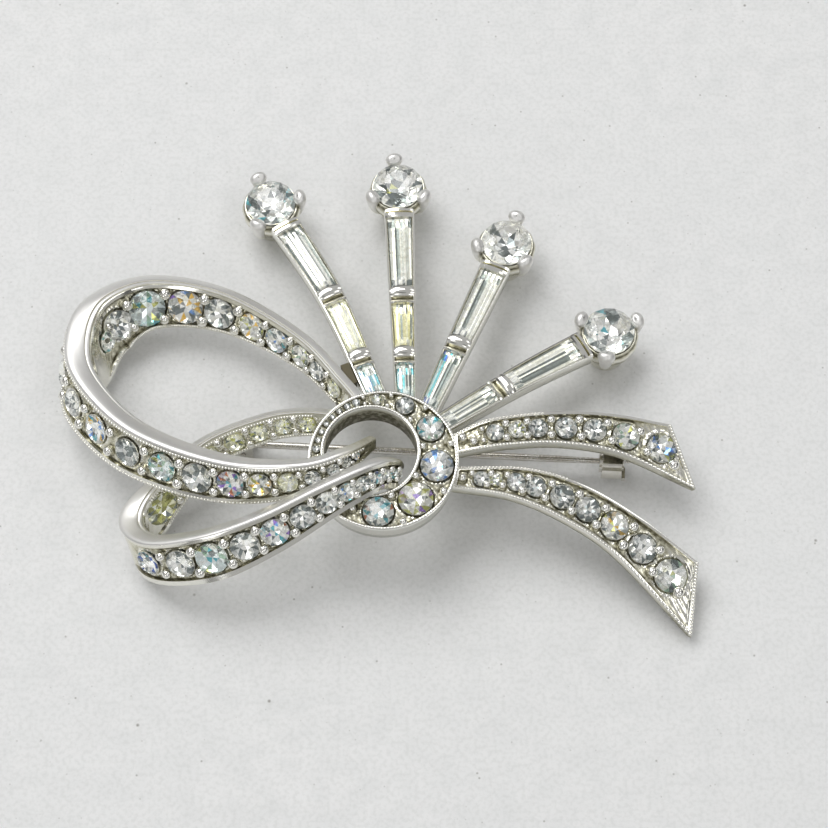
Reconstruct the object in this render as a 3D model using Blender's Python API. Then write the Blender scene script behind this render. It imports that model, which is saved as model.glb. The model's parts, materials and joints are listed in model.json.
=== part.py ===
"""Rhinestone ribbon-bow spray brooch with a hinged pin and a roll-over safety catch.

The brooch lies face up on its back: +Z is up, +X runs along its length and +Y points to
the tips of the spray. Sizes are in millimetres in the knot's own frame, whose origin is
the centre of the knot's hole, and MM turns them into metres.
"""
import math

import bmesh
import bpy
import numpy as np
from mathutils import Matrix, Vector

MM = 0.001
KNOT_AT = (-0.2, -10.0, 0.0)         # centres the whole brooch on the origin

# Knot ring: a round hole set off-centre in a round outer wall, with a stone channel on top.
HOLE_R = 4.65
RING_R = 7.5
RING_CENTRE = (1.25, -0.95)
RING_TOP = 10.1
RING_BOTTOM = 6.75
RING_DRAFT = 0.4                      # how far the outer wall leans in at the bottom
RING_LEAN = 0.05
RING_STEPS = 36
RING_RIM = 0.3
RING_STONES = [(-83, 3.2), (-49, 3.3), (-14, 3.1), (22, 2.6), (55, 2.2), (85, 1.8)]
RING_SMALL_ARC = (108, 176)
RING_SMALL_STEPS = 7
RING_STONE_ROOM = 0.2

# Stone channels and the stones in them.
RIM = 0.45
CHANNEL = 0.6
CHANNEL_LEAN = 0.12                  # the channel's floor is this much narrower on each side
GAP = 0.05
BED_GAP = 0.14
PROUD = 0.22
BLOCK_CHAMFER = 0.15
SINK = 0.2                           # how far the links between stones lie under the face
TABLE_SHARE = 0.58                   # table radius over girdle radius of a round stone
CULET_SHARE = 0.5
CROWN_RISE = 0.35                    # crown height over radius
GIRDLE = (-0.04, 0.06)

# Ribbon loops. Each row is one point of the polished top edge, from the knot round the
# bend and back: x, y, z, thickness, height of the ribbon and how far its inner face flares.
FALL = Vector((0.0, -math.cos(math.radians(50)), -math.sin(math.radians(50))))
LOOP_STATIONS = 38
LOOK_AHEAD = 0.4                     # half the span over which a path's direction is taken
CROWN = 0.16                         # drop of the top edge's shoulders, over the thickness
TOP_FLAT = 0.3                       # half width of the top edge's flat, over the thickness
STONE_ROOM = 0.5                     # what a stone leaves free across its channel
ROW_SHIFT = 0.08                     # stones sit this far below the middle of the face
UPPER_LOOP = [
    (-0.9, 5.9, 9.0, 1.3, 2.7, 0.0),
    (-2.8, 8.5, 8.7, 1.3, 3.0, 0.0),
    (-7.4, 14.0, 7.9, 1.4, 3.7, 0.0),
    (-15.4, 19.6, 6.6, 1.7, 4.6, 0.0),
    (-23.4, 21.3, 6.2, 2.2, 5.4, 0.4),
    (-28.9, 18.6, 6.8, 2.6, 6.1, 1.4),
    (-30.3, 13.5, 7.7, 2.6, 6.2, 2.0),
    (-28.7, 8.5, 8.7, 2.4, 5.9, 1.4),
    (-23.3, 2.8, 9.9, 2.3, 5.4, 0.4),
    (-14.6, -1.2, 11.3, 2.0, 4.7, 0.0),
    (-7.0, -2.2, 12.6, 1.5, 3.6, 0.0),
    (-2.6, -1.1, 12.9, 1.2, 2.4, 0.0),
    (0.2, 1.1, 11.0, 0.9, 1.2, 0.0),
]
LOWER_LOOP = [
    (-3.6, 5.0, 8.3, 1.2, 2.7, 0.0),
    (-7.0, 5.5, 7.8, 1.2, 2.8, 0.0),
    (-11.2, 5.1, 7.1, 1.2, 2.9, 0.0),
    (-17.3, 2.9, 5.9, 1.4, 3.3, 0.0),
    (-22.8, -1.9, 4.7, 2.0, 4.2, 0.6),
    (-24.2, -5.2, 4.95, 2.4, 4.9, 1.2),
    (-22.0, -7.9, 6.7, 2.2, 5.2, 0.8),
    (-16.6, -8.3, 9.2, 1.9, 5.2, 0.0),
    (-10.9, -7.1, 11.2, 1.6, 4.6, 0.0),
    (-4.7, -4.6, 12.9, 1.4, 3.8, 0.0),
    (0.0, -2.4, 12.9, 1.3, 3.3, 0.0),
    (2.2, -1.3, 11.3, 1.2, 3.0, 0.0),
    (2.8, -1.0, 9.4, 1.2, 3.0, 0.0),
]
# Where each loop's stone rows run, as fractions of its length, the stone sizes at the start,
# middle and end of the row, and the gap between stones, which small beads fill.
UPPER_BACK = (0.05, 0.47, (1.6, 2.5, 3.6), 0.4)
UPPER_FRONT = (0.485, 0.957, (2.6, 2.8, 1.1), 0.8)
LOWER_BACK = (0.09, 0.455, (1.4, 1.9, 3.4), 0.9)
LOWER_FRONT = (0.48, 0.975, (3.0, 2.8, 1.0), 0.5)
CHANNEL_RAMP = 0.03
# Name, path, rows and how far the outer face spreads for each unit of the inner flare.
LOOPS = [
    ("upper_loop", UPPER_LOOP, UPPER_BACK, UPPER_FRONT, 0.2),
    ("lower_loop", LOWER_LOOP, LOWER_BACK, LOWER_FRONT, -1.3),
]

# Ribbon tails, as pairs of points on the two edges of the strip, from the knot outwards.
TAIL_THICK = 1.5
UPPER_TAIL = [
    ((8.2, 2.6, 8.1), (8.4, 0.4, 8.1)),
    ((11.0, 4.0, 8.2), (11.2, 0.95, 8.2)),
    ((13.9, 4.7, 8.1), (14.0, 1.4, 8.1)),
    ((19.1, 5.3, 7.8), (19.1, 1.7, 7.8)),
    ((24.4, 5.3, 7.2), (25.4, 0.9, 6.9)),
    ((30.4, 4.5, 6.3), (32.8, -1.9, 4.6)),
]
LOWER_TAIL = [
    ((8.5, -0.9, 8.1), (8.1, -3.2, 8.1)),
    ((15.6, -0.9, 7.8), (14.0, -4.1, 7.8)),
    ((21.3, -2.4, 7.1), (19.4, -6.3, 7.0)),
    ((27.0, -5.4, 5.7), (24.6, -9.6, 5.5)),
    ((32.8, -9.5, 3.8), (32.0, -16.6, 1.4)),
]
TAIL_STATIONS = 14
TAIL_END_WALL = 0.5
TAIL_END_ROOM = 0.9
TAIL_STONE_ROOM = 0.3
EDGE_BREAK = 0.1                     # small chamfers on the castings' edges
TAIL_DRAFT = 0.15
UPPER_TAIL_STONES = (7, 1.6, 2.9, 3.4)
LOWER_TAIL_STONES = (9, 1.4, 3.3, 1.0)

# Spray: angle of the foot on the knot ring, centre of the head, sideways bow and baguettes.
STEMS = [
    (95, (-11.0, 30.9, 4.9), -0.9, (2.7, 4.8, 6.7)),
    (73, (2.6, 32.95, 4.9), 0.0, (2.8, 4.0, 6.6)),
    (55, (14.1, 26.0, 5.1), 0.0, (4.8, 6.5)),
    (39, (24.6, 15.4, 5.4), 0.3, (4.6, 6.6)),
]
STEM_FOOT_Z = 8.3
STEM_WIDTH = (2.1, 2.9)
STEM_DEPTH = 1.8
STEM_WALL = 0.3
STEM_FLOOR = 0.9
STEM_GAP = 0.12
STEM_ENDS = (0.3, 0.5)               # solid metal before the first and after the last pocket
POCKET_STATIONS = 4
BAGUETTE_TOP = 0.35
BAGUETTE_SLOPE = 0.35                # length of the sloping facet at each end of a baguette
BAGUETTE_GIRDLE = -0.15
TAB_LENGTH = 1.5
HEAD_R = 2.65
CUP_R = 2.95
CUP_FOOT_R = 2.0
CUP_BOTTOM = 0.0
CUP_STEPS = 24
CUP_SEAT = -0.1
CUP_BORE = (1.3, 1.5)
HEAD_BED = 1.5
HEAD_TABLE = 0.95
PRONG_TURNS = [(116, 9, 246), (98, 210, 332), (69, 190, 308), (157, 21, 262)]
PRONG_AT = 3.2
PRONG_R = 0.5
PRONG_TOP = 0.9
PRONG_DROP = 2.4

# Pin, hinge and safety catch, in a frame that looks along the pin: x along the stem.
HINGE_AT = Vector((-13.6, 4.2, 2.0))
CATCH_AT = Vector((24.6, 2.2, 2.0))
PIN_R = 0.38
PIN_TAPER = 0.3
PIN_OVERHANG = 2.2
EYE_R = 0.95
EYE_HALF = 0.6
RIVET_R = 0.4
RUNNING = 0.06
EAR_THICK = 0.6
EAR_HALF = 1.35
BASE_TOP = 1.75
RIVET_HEAD = (0.25, 0.2)              # how much wider than the rivet its heads are, and how thick
HOOK_R = 1.8
LOCK_R = 1.15
LOCK_BORE = 0.62
HOOK_HALF = 1.0
LOCK_HALF = 1.25
MOUTH_HALF_ANGLE = 50
LEVER_REACH = 1.95
CATCH_TOP = 2.65
CATCH_PLATE = (1.4, 0.5)              # half width and thickness of the plate over the hook
CATCH_NECK = 0.8
LEVER = (0.35, 0.08, 0.15)            # half width, clearance from the hook and thickness outside
ARC_STEPS = 22

# Lug that ties the upper loop to the first stem behind the knot.
LUG = ((-2.35, 9.6, 6.9), (0.9, 2.4, 1.2), 22)

PLATED = ("plated_metal", (0.82, 0.81, 0.78), 0.16, 1.0)
STEEL = ("steel_pin", (0.72, 0.71, 0.68), 0.22, 1.0)
ROUND_STONE = ("clear_rhinestone", (0.88, 0.91, 0.93), 0.05, 0.2)
BAGUETTE = ("baguette_rhinestone", (0.92, 0.92, 0.84), 0.06, 0.2)


def clear_scene():
    for item in list(bpy.data.objects):
        bpy.data.objects.remove(item, do_unlink=True)


def material(look):
    """The named Principled material, made once."""
    name, colour, roughness, metallic = look
    if name in bpy.data.materials:
        return bpy.data.materials[name]
    made = bpy.data.materials.new(name)
    made.use_nodes = True
    shader = made.node_tree.nodes["Principled BSDF"]
    shader.inputs["Base Color"].default_value = (*colour, 1.0)
    shader.inputs["Roughness"].default_value = roughness
    shader.inputs["Metallic"].default_value = metallic
    return made


def empty(name, parent, place=(0, 0, 0), turn=0.0):
    """An empty that other objects are placed under, turned about Z."""
    holder = bpy.data.objects.new(name, None)
    bpy.context.scene.collection.objects.link(holder)
    holder.parent = parent
    holder.location = Vector(place) * MM
    holder.rotation_euler.z = turn
    return holder


def finish(name, bm, look, parent, place=(0, 0, 0)):
    """Turn a bmesh in millimetres into a named object, with its origin at place."""
    bmesh.ops.recalc_face_normals(bm, faces=bm.faces[:])
    bm.transform(Matrix.Scale(MM, 4) @ Matrix.Translation(-Vector(place)))
    mesh = bpy.data.meshes.new(name)
    bm.to_mesh(mesh)
    bm.free()
    mesh.materials.append(material(look))
    mesh.shade_smooth()
    mesh.set_sharp_from_angle(angle=math.radians(35))
    made = bpy.data.objects.new(name, mesh)
    bpy.context.scene.collection.objects.link(made)
    made.parent = parent
    made.location = Vector(place) * MM
    return made


def loft(sections, closed=False):
    """A bmesh through rings of points, with flat ends unless it closes on itself."""
    bm = bmesh.new()
    rings = [[bm.verts.new(point) for point in section] for section in sections]
    pairs = list(zip(rings, rings[1:]))
    if closed:
        pairs.append((rings[-1], rings[0]))
    for first, second in pairs:
        size = len(first)
        for i in range(size):
            j = (i + 1) % size
            bm.faces.new((first[i], first[j], second[j], second[i]))
    if not closed:
        bm.faces.new(rings[0])
        bm.faces.new(rings[-1])
    return bm


def turned(profile, steps, centre=(0, 0, 0)):
    """A solid of revolution about Z through centre, from (radius, height) pairs."""
    sections = []
    for i in range(steps):
        angle = 2 * math.pi * i / steps
        sections.append([Vector(centre) + Vector((r * math.cos(angle), r * math.sin(angle), z))
                         for r, z in profile])
    return loft(sections, closed=True)


def stone(centre, normal, radius, bed, table, steps=8):
    """A round cut stone: a cone below its girdle, a sloping crown and a flat table."""
    turn = Vector(normal).to_track_quat("Z", "Y").to_matrix()
    levels = [(CULET_SHARE * radius, -bed), (radius, GIRDLE[0]), (radius, GIRDLE[1]),
              (TABLE_SHARE * radius, table)]
    sections = []
    for r, z in levels:
        ring = []
        for i in range(steps):
            angle = 2 * math.pi * (i + 0.5) / steps
            corner = Vector((r * math.cos(angle), r * math.sin(angle), z))
            ring.append(Vector(centre) + turn @ corner)
        sections.append(ring)
    return loft(sections)


def smooth_path(controls, samples=12):
    """Dense points on a smooth curve through every control, and the distance along it."""
    rows = np.array(controls, float)
    rows = np.vstack([2 * rows[0] - rows[1], rows, 2 * rows[-1] - rows[-2]])
    dense = []
    for i in range(1, len(rows) - 2):
        before, start, end, after = rows[i - 1:i + 3]
        for u in np.arange(samples) / samples:
            bend = 2 * before - 5 * start + 4 * end - after
            twist = 3 * start - before - 3 * end + after
            dense.append(0.5 * (2 * start + (end - before) * u + bend * u**2 + twist * u**3))
    dense.append(rows[-2])
    dense = np.array(dense)
    steps = np.linalg.norm(np.diff(dense[:, :3], axis=0), axis=1)
    return dense, np.concatenate([[0.0], np.cumsum(steps)])


class Ribbon:
    """A ribbon hung from its polished top edge, leaning down the fall line."""

    def __init__(self, controls, inner_row, outer_row, outer_flare):
        self.rows, self.travel = smooth_path(controls)
        self.length = self.travel[-1]
        self.outer_flare = outer_flare
        self.inner_row = inner_row
        self.outer_row = outer_row

    def value(self, s):
        return [float(np.interp(s, self.travel, column)) for column in self.rows.T]

    def frame(self, s):
        """Top point, direction down the ribbon, direction to the inside, and its sizes."""
        x, y, z, thick, high, flare = self.value(s)
        ahead = Vector(self.value(min(s + LOOK_AHEAD, self.length))[:3])
        behind = Vector(self.value(max(s - LOOK_AHEAD, 0.0))[:3])
        along = (ahead - behind).normalized()
        down = (FALL - FALL.dot(along) * along).normalized()
        return Vector((x, y, z)), down, along.cross(down), thick, high, flare

    def depth(self, s, side):
        """How deep the stone channel on one face is at s."""
        start, end = (self.inner_row if side > 0 else self.outer_row)[:2]
        f = s / self.length
        room = min(f - start, end - f) + CHANNEL_RAMP
        return CHANNEL * min(max(room / CHANNEL_RAMP, 0.0), 1.0)

    def on_face(self, s, side, v, lift):
        """A point on the inner (+1) or outer (-1) face, v down from the top edge."""
        top, down, inward, thick, high, flare = self.frame(s)
        spread = flare * (1.0 if side > 0 else self.outer_flare) * v / high
        return top + down * v + inward * side * (0.5 * thick + spread + lift)

    def section(self, s):
        """Outline of the ribbon: a crowned top edge and a channel in each face."""
        top, _, inward, thick, high, _ = self.frame(s)
        crown = CROWN * thick
        points = [self.on_face(s, -1, crown, 0.0),
                  top - inward * TOP_FLAT * thick,
                  top + inward * TOP_FLAT * thick,
                  self.on_face(s, 1, crown, 0.0)]
        upper = crown + RIM
        lower = high - RIM
        for side, order in ((1, (upper, lower)), (-1, (lower, upper))):
            first, last = order
            step = math.copysign(CHANNEL_LEAN, last - first)
            deep = self.depth(s, side)
            if side < 0:
                points.append(self.on_face(s, side, high, 0.0))
            points.append(self.on_face(s, side, first, 0.0))
            points.append(self.on_face(s, side, first + step, -deep))
            points.append(self.on_face(s, side, last - step, -deep))
            points.append(self.on_face(s, side, last, 0.0))
            if side > 0:
                points.append(self.on_face(s, side, high, 0.0))
        return points

    def casting(self):
        return loft([self.section(s) for s in np.linspace(0, self.length, LOOP_STATIONS)])

    def stone_places(self, row):
        """Distances along the ribbon of the stones of a row, with their radii."""
        start, end, graded, gap = row
        place = start * self.length
        stop = end * self.length
        places = []
        while True:
            share = (place / self.length - start) / (end - start)
            size = float(np.interp(share, (0.0, 0.5, 1.0), graded))
            if place + size > stop:
                return places
            high = self.frame(place + 0.5 * size)[4]
            radius = 0.5 * min(size, high - 2 * RIM - STONE_ROOM)
            places.append((place + 0.5 * size, radius))
            place += size + gap

    def stone_row(self, side, row):
        """Stones on their bed of foil and cement, as one chain of faceted blocks."""
        # Shift along the row, share of the full width, lift and share of the width on top.
        link = (0.55, -SINK, 0.8)
        body = (1.0, PROUD, 0.55)
        base = -CHANNEL + BED_GAP
        sections = []
        for s, radius in self.stone_places(row):
            for shift, (width, lift, crown) in ((-1.0, link), (-0.5, body), (0.5, body), (1.0, link)):
                at = s + shift * radius
                middle = 0.5 * self.frame(at)[4] + ROW_SHIFT
                half = radius * width
                outline = [(-half, base), (-half, lift - BLOCK_CHAMFER), (-crown * half, lift),
                           (crown * half, lift), (half, lift - BLOCK_CHAMFER), (half, base)]
                sections.append([self.on_face(at, side, middle + v, z) for v, z in outline])
        return loft(sections)


def ring_outer(angle):
    """Distance from the hole's centre to the ring's outer wall at an angle."""
    away = Vector((math.cos(angle), math.sin(angle)))
    centre = Vector(RING_CENTRE)
    along = centre.dot(away)
    return along + math.sqrt(RING_R**2 - centre.length_squared + along**2)


def around(angle, radius, z):
    """A point at an angle and a distance round the hole's centre."""
    return Vector((radius * math.cos(angle), radius * math.sin(angle), z))


def knot_ring(parent):
    sections = []
    for i in range(RING_STEPS):
        angle = 2 * math.pi * i / RING_STEPS
        outer = ring_outer(angle)
        inside = HOLE_R + RING_RIM
        outside = outer - RING_RIM
        profile = [(HOLE_R, RING_BOTTOM), (HOLE_R, RING_TOP), (inside, RING_TOP),
                   (inside + RING_LEAN, RING_TOP - CHANNEL), (outside - RING_LEAN, RING_TOP - CHANNEL),
                   (outside, RING_TOP), (outer, RING_TOP - EDGE_BREAK),
                   (outer - RING_DRAFT, RING_BOTTOM)]
        sections.append([around(angle, r, z) for r, z in profile])
    finish("knot_ring", loft(sections, closed=True), PLATED, parent)


def ring_stones(parent):
    """Large stones on the wide side of the ring, and a row of tiny ones on the narrow side."""
    for number, (degrees, size) in enumerate(RING_STONES, 1):
        angle = math.radians(degrees)
        middle = 0.5 * (HOLE_R + ring_outer(angle))
        radius = 0.5 * min(size, ring_outer(angle) - HOLE_R - 2 * RING_RIM - RING_STONE_ROOM)
        at = around(angle, middle, RING_TOP)
        bm = stone(at, (0, 0, 1), radius, CHANNEL - GAP, CROWN_RISE * radius + PROUD)
        finish(f"ring_stone_{number}", bm, ROUND_STONE, parent, at)
    start, end = RING_SMALL_ARC
    half_step = 0.5 * (end - start) / RING_SMALL_STEPS
    # Lift over the ring's top and share of the full width, for a link and for a stone.
    link = (-0.25, 0.6)
    body = (0.1, 1.0)
    base = -CHANNEL + GAP
    sections = []
    for i in range(RING_SMALL_STEPS):
        for shift, (lift, width) in ((-0.8, link), (-0.4, body), (0.4, body), (0.8, link)):
            angle = math.radians(start + half_step * (2 * i + 1 + shift))
            middle = 0.5 * (HOLE_R + ring_outer(angle))
            half = (0.5 * (ring_outer(angle) - HOLE_R) - RIM) * width
            shoulder = lift - EDGE_BREAK
            outline = [(-half, base), (-half, shoulder), (-0.5 * half, lift),
                       (0.5 * half, lift), (half, shoulder), (half, base)]
            sections.append([around(angle, middle + r, RING_TOP + z) for r, z in outline])
    finish("ring_small_stones", loft(sections), ROUND_STONE, parent)


def cope(casting, parent):
    """Trim a casting to the ring that it is soldered to, with a hair of clearance."""
    inside = HOLE_R - GAP
    top = RING_TOP + GAP
    bottom = -1.0
    sections = []
    for i in range(RING_STEPS):
        angle = 2 * math.pi * i / RING_STEPS
        outside = ring_outer(angle) + GAP
        profile = [(inside, bottom), (inside, top), (outside, top), (outside, bottom)]
        sections.append([around(angle, r, z) for r, z in profile])
    combine(casting, "DIFFERENCE", finish("ring_room", loft(sections, closed=True), PLATED, parent))


class Tail:
    """A flat ribbon strip between two edges, with a stone channel in its face."""

    def __init__(self, edges):
        self.rows, self.travel = smooth_path([first + second for first, second in edges])
        self.length = self.travel[-1]

    def edges(self, s):
        """The far edge and the near edge at s."""
        row = [float(np.interp(s, self.travel, column)) for column in self.rows.T]
        return Vector(row[:3]), Vector(row[3:])

    def frame(self, s):
        """Far edge, near edge and the face's normal at s."""
        far, near = self.edges(s)
        ahead = self.edges(min(s + LOOK_AHEAD, self.length))
        behind = self.edges(max(s - LOOK_AHEAD, 0.0))
        along = ahead[0] + ahead[1] - behind[0] - behind[1]
        return far, near, (near - far).cross(along).normalized()

    def point(self, s, across, lift):
        """A point at a distance across from the far edge, lifted off the face."""
        far, near, up = self.frame(s)
        return far + (near - far).normalized() * across + up * lift

    def width(self, s):
        far, near = self.edges(s)
        return (near - far).length

    def casting(self):
        first = TAIL_END_WALL
        last = self.length - TAIL_END_WALL
        channel = np.linspace(first + EDGE_BREAK, last - EDGE_BREAK, TAIL_STATIONS)
        sections = []
        for s in [0.0, first, *channel, last, self.length]:
            wide = self.width(s)
            deep = CHANNEL if first < s < last else 0.0
            half = [(TAIL_DRAFT, -TAIL_THICK), (0.0, -EDGE_BREAK), (EDGE_BREAK, 0.0),
                    (RIM - EDGE_BREAK, 0.0), (RIM, -deep)]
            outline = half + [(wide - across, lift) for across, lift in reversed(half)]
            sections.append([self.point(s, across, lift) for across, lift in outline])
        return loft(sections)

    def stones(self, count, first, last, lead):
        """Graded stones, spread so that neighbours keep an even gap."""
        sizes = [first + (last - first) * i / (count - 1) for i in range(count)]
        gap = (self.length - lead - TAIL_END_ROOM - sum(sizes)) / (count - 1)
        place = lead
        placed = []
        for size in sizes:
            s = place + 0.5 * size
            wide = self.width(s)
            radius = 0.5 * min(size, wide - 2 * RIM - TAIL_STONE_ROOM)
            placed.append((self.point(s, 0.5 * wide, 0.0), self.frame(s)[2], radius))
            place += size + gap
        return placed


def tail(name, edges, graded, parent):
    strip = Tail(edges)
    cope(finish(name, strip.casting(), PLATED, parent), parent)
    for number, (at, normal, radius) in enumerate(strip.stones(*graded), 1):
        bm = stone(at, normal, radius, CHANNEL - BED_GAP, CROWN_RISE * radius + PROUD)
        finish(f"{name}_stone_{number}", bm, ROUND_STONE, parent, at)


class Stem:
    """One ray of the spray, from the knot ring out to its round head."""

    def __init__(self, degrees, head, bow):
        angle = math.radians(degrees)
        out = Vector((math.cos(angle), math.sin(angle), 0.0))
        foot = Vector((*RING_CENTRE, STEM_FOOT_Z)) + out * (RING_R + STEM_GAP)
        aim = Vector(head) - foot
        left = Vector((-aim.y, aim.x, 0.0)).normalized()
        middle = 0.5 * (foot + Vector(head)) + left * bow
        self.rows, self.travel = smooth_path([foot, middle, head])
        self.length = self.travel[-1] - CUP_R - STEM_GAP

    def place(self, s):
        return Vector([float(np.interp(s, self.travel, column)) for column in self.rows.T])

    def frame(self, s):
        """Point on the stem's top, and the directions across and up."""
        along = (self.place(s + LOOK_AHEAD) - self.place(s - LOOK_AHEAD)).normalized()
        side = along.cross(Vector((0, 0, 1))).normalized()
        return self.place(s), side, side.cross(along)

    def width(self, s):
        return STEM_WIDTH[0] + (STEM_WIDTH[1] - STEM_WIDTH[0]) * s / self.length

    def pockets(self, proportions):
        """Start and end of each baguette's pocket, with a tab block between pockets."""
        tabs = TAB_LENGTH * (len(proportions) - 1) + sum(STEM_ENDS)
        scale = (self.length - tabs) / sum(proportions)
        place = STEM_ENDS[0]
        spans = []
        for share in proportions:
            spans.append((place, place + share * scale))
            place += share * scale + TAB_LENGTH
        return spans

    def outline(self, s, floor):
        at, side, up = self.frame(s)
        half = 0.5 * self.width(s)
        inside = half - STEM_WALL
        bed = inside - GAP
        shape = [(-half, -STEM_DEPTH), (half, -STEM_DEPTH), (half, 0.0), (inside, 0.0),
                 (bed, floor), (-bed, floor), (-inside, 0.0), (-half, 0.0)]
        return [at + side * a + up * b for a, b in shape]

    def channel(self, spans):
        level = -0.01
        draft = 0.03
        sections = [self.outline(0.0, level)]
        for start, end in spans:
            sections.append(self.outline(start, level))
            for s in np.linspace(start + draft, end - draft, POCKET_STATIONS):
                sections.append(self.outline(s, -STEM_FLOOR))
            sections.append(self.outline(end, level))
        sections.append(self.outline(self.length, level))
        return loft(sections)

    def baguette(self, start, end):
        """A long step-cut stone that stands a little proud of its channel."""
        base = -STEM_FLOOR + BED_GAP
        stations = [(start, 0.0), (start + BAGUETTE_SLOPE, BAGUETTE_TOP),
                    (end - BAGUETTE_SLOPE, BAGUETTE_TOP), (end, 0.0)]
        sections = []
        for s, top in stations:
            at, side, up = self.frame(s)
            half = 0.5 * self.width(s) - STEM_WALL - 2 * GAP
            shape = [(-0.6 * half, base), (0.6 * half, base), (half, BAGUETTE_GIRDLE),
                     (0.45 * half, top), (-0.45 * half, top), (-half, BAGUETTE_GIRDLE)]
            sections.append([at + side * a + up * b for a, b in shape])
        return loft(sections)


def spray(parent):
    for number, (degrees, head, bow, proportions) in enumerate(STEMS, 1):
        stem = Stem(degrees, head, bow)
        spans = stem.pockets(proportions)
        finish(f"stem_{number}_channel", stem.channel(spans), PLATED, parent)
        for order, (start, end) in enumerate(spans, 1):
            bm = stem.baguette(start + 2 * GAP, end - 2 * GAP)
            finish(f"stem_{number}_baguette_{order}", bm, BAGUETTE, parent)
        prong_cup(head, PRONG_TURNS[number - 1], parent, f"head_{number}_cup")
        at = Vector(head)
        bm = stone(at, (0, 0, 1), HEAD_R, HEAD_BED, HEAD_TABLE, steps=12)
        finish(f"head_{number}_stone", bm, ROUND_STONE, parent, at)


def prong_cup(head, turns, parent, name):
    """An open cone-shaped setting with three prongs that grip the stone."""
    low = CUP_BOTTOM - head[2]
    profile = [(CUP_FOOT_R, low), (CUP_R, CUP_SEAT - 0.25), (CUP_R, CUP_SEAT),
               (HEAD_R + GAP, CUP_SEAT), (HEAD_R - 0.55, CUP_SEAT - 0.65),
               (CUP_BORE[1], low + 2.2), (CUP_BORE[0], low)]
    cup = finish(name, turned(profile, CUP_STEPS, head), PLATED, parent)
    for degrees in turns:
        out = around(math.radians(degrees), 1.0, 0.0)
        foot = Vector(head) + out * (CUP_R - 0.35) - Vector((0, 0, PRONG_DROP))
        tip = Vector(head) + out * PRONG_AT + Vector((0, 0, PRONG_TOP))
        turn = (tip - foot).to_track_quat("Z", "Y").to_matrix().to_4x4()
        place = Matrix.Translation(0.5 * (foot + tip)) @ turn
        bm = bmesh.new()
        bmesh.ops.create_cone(bm, cap_ends=True, segments=8, radius1=0.8 * PRONG_R,
                              radius2=PRONG_R, depth=(tip - foot).length, matrix=place)
        combine(cup, "UNION", finish("prong", bm, PLATED, parent))


def cylinder(radius, half, steps):
    """A plain cylinder along Y, centred on the origin."""
    bm = bmesh.new()
    bmesh.ops.create_cone(bm, cap_ends=True, segments=steps, radius1=radius, radius2=radius,
                          depth=2 * half, matrix=Matrix.Rotation(math.radians(90), 4, "X"))
    return bm


def circle(radius, steps):
    """Points of a circle as pairs."""
    turns = np.linspace(0, 2 * math.pi, steps + 1)[:-1]
    return [(radius * math.cos(t), radius * math.sin(t)) for t in turns]


def combine(target, operation, tool):
    """Join or cut one object with another and remove the tool."""
    modifier = target.modifiers.new(operation.lower(), "BOOLEAN")
    modifier.operation = operation
    modifier.object = tool
    modifier.solver = "EXACT"
    bpy.context.view_layer.update()
    seen = target.evaluated_get(bpy.context.evaluated_depsgraph_get())
    result = bpy.data.meshes.new_from_object(seen)
    target.modifiers.clear()
    old = target.data
    target.data = result
    bpy.data.meshes.remove(old)
    bpy.data.objects.remove(tool, do_unlink=True)


def hinge(parent):
    """A folded bracket with two ears, and the rivet that the pin turns on."""
    inner = EYE_HALF + RUNNING
    outer = inner + EAR_THICK
    floor = -HINGE_AT.z
    inside_top = EYE_R + 0.2
    shape = [(-outer, floor), (-inner, floor), (-inner, inside_top), (inner, inside_top),
             (inner, floor), (outer, floor), (outer, BASE_TOP), (-outer, BASE_TOP)]
    bm = loft([[Vector((x, y, z)) for y, z in shape] for x in (-EAR_HALF, EAR_HALF)])
    bracket = finish("hinge_base", bm, PLATED, parent)
    hole = finish("hole", cylinder(RIVET_R + RUNNING, 2 * outer, 20), PLATED, parent)
    combine(bracket, "DIFFERENCE", hole)
    head = RIVET_R + RIVET_HEAD[0]
    face = outer + GAP
    end = face + RIVET_HEAD[1]
    profile = [(head, -end), (head, -face), (RIVET_R, -face), (RIVET_R, face), (head, face), (head, end)]
    rings = [[Vector((x, y, z)) for x, z in circle(r, 20)] for r, y in profile]
    finish("hinge_rivet", loft(rings), STEEL, parent)


def pin_stem(parent):
    """The sharpened stem with the flat eye that turns on the rivet."""
    tip = (CATCH_AT - HINGE_AT).length + PIN_OVERHANG
    # Distance from the eye and radius, from the shoulder in the eye to the point.
    profile = [(EYE_R - 0.35, PIN_R), (tip * 0.72, PIN_R), (tip - 4.0, PIN_TAPER),
               (tip - 1.2, 0.2), (tip, 0.04)]
    rings = [[Vector((x, y, z)) for y, z in circle(r, 10)] for x, r in profile]
    eye = finish("pin_stem", cylinder(EYE_R, EYE_HALF, 24), STEEL, parent)
    combine(eye, "UNION", finish("shaft", loft(rings), STEEL, parent))
    combine(eye, "DIFFERENCE", finish("hole", cylinder(RIVET_R + RUNNING, 2.0, 20), STEEL, parent))


def arc_band(inner, outer, half):
    """A C-shaped band about X, open downwards over twice the mouth angle."""
    turns = np.radians(np.linspace(MOUTH_HALF_ANGLE - 90, 270 - MOUTH_HALF_ANGLE, ARC_STEPS))
    sections = []
    for t in turns:
        sections.append([Vector((x, r * math.cos(t), r * math.sin(t)))
                         for x, r in ((-half, inner), (half, inner), (half, outer), (-half, outer))])
    return loft(sections)


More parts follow.
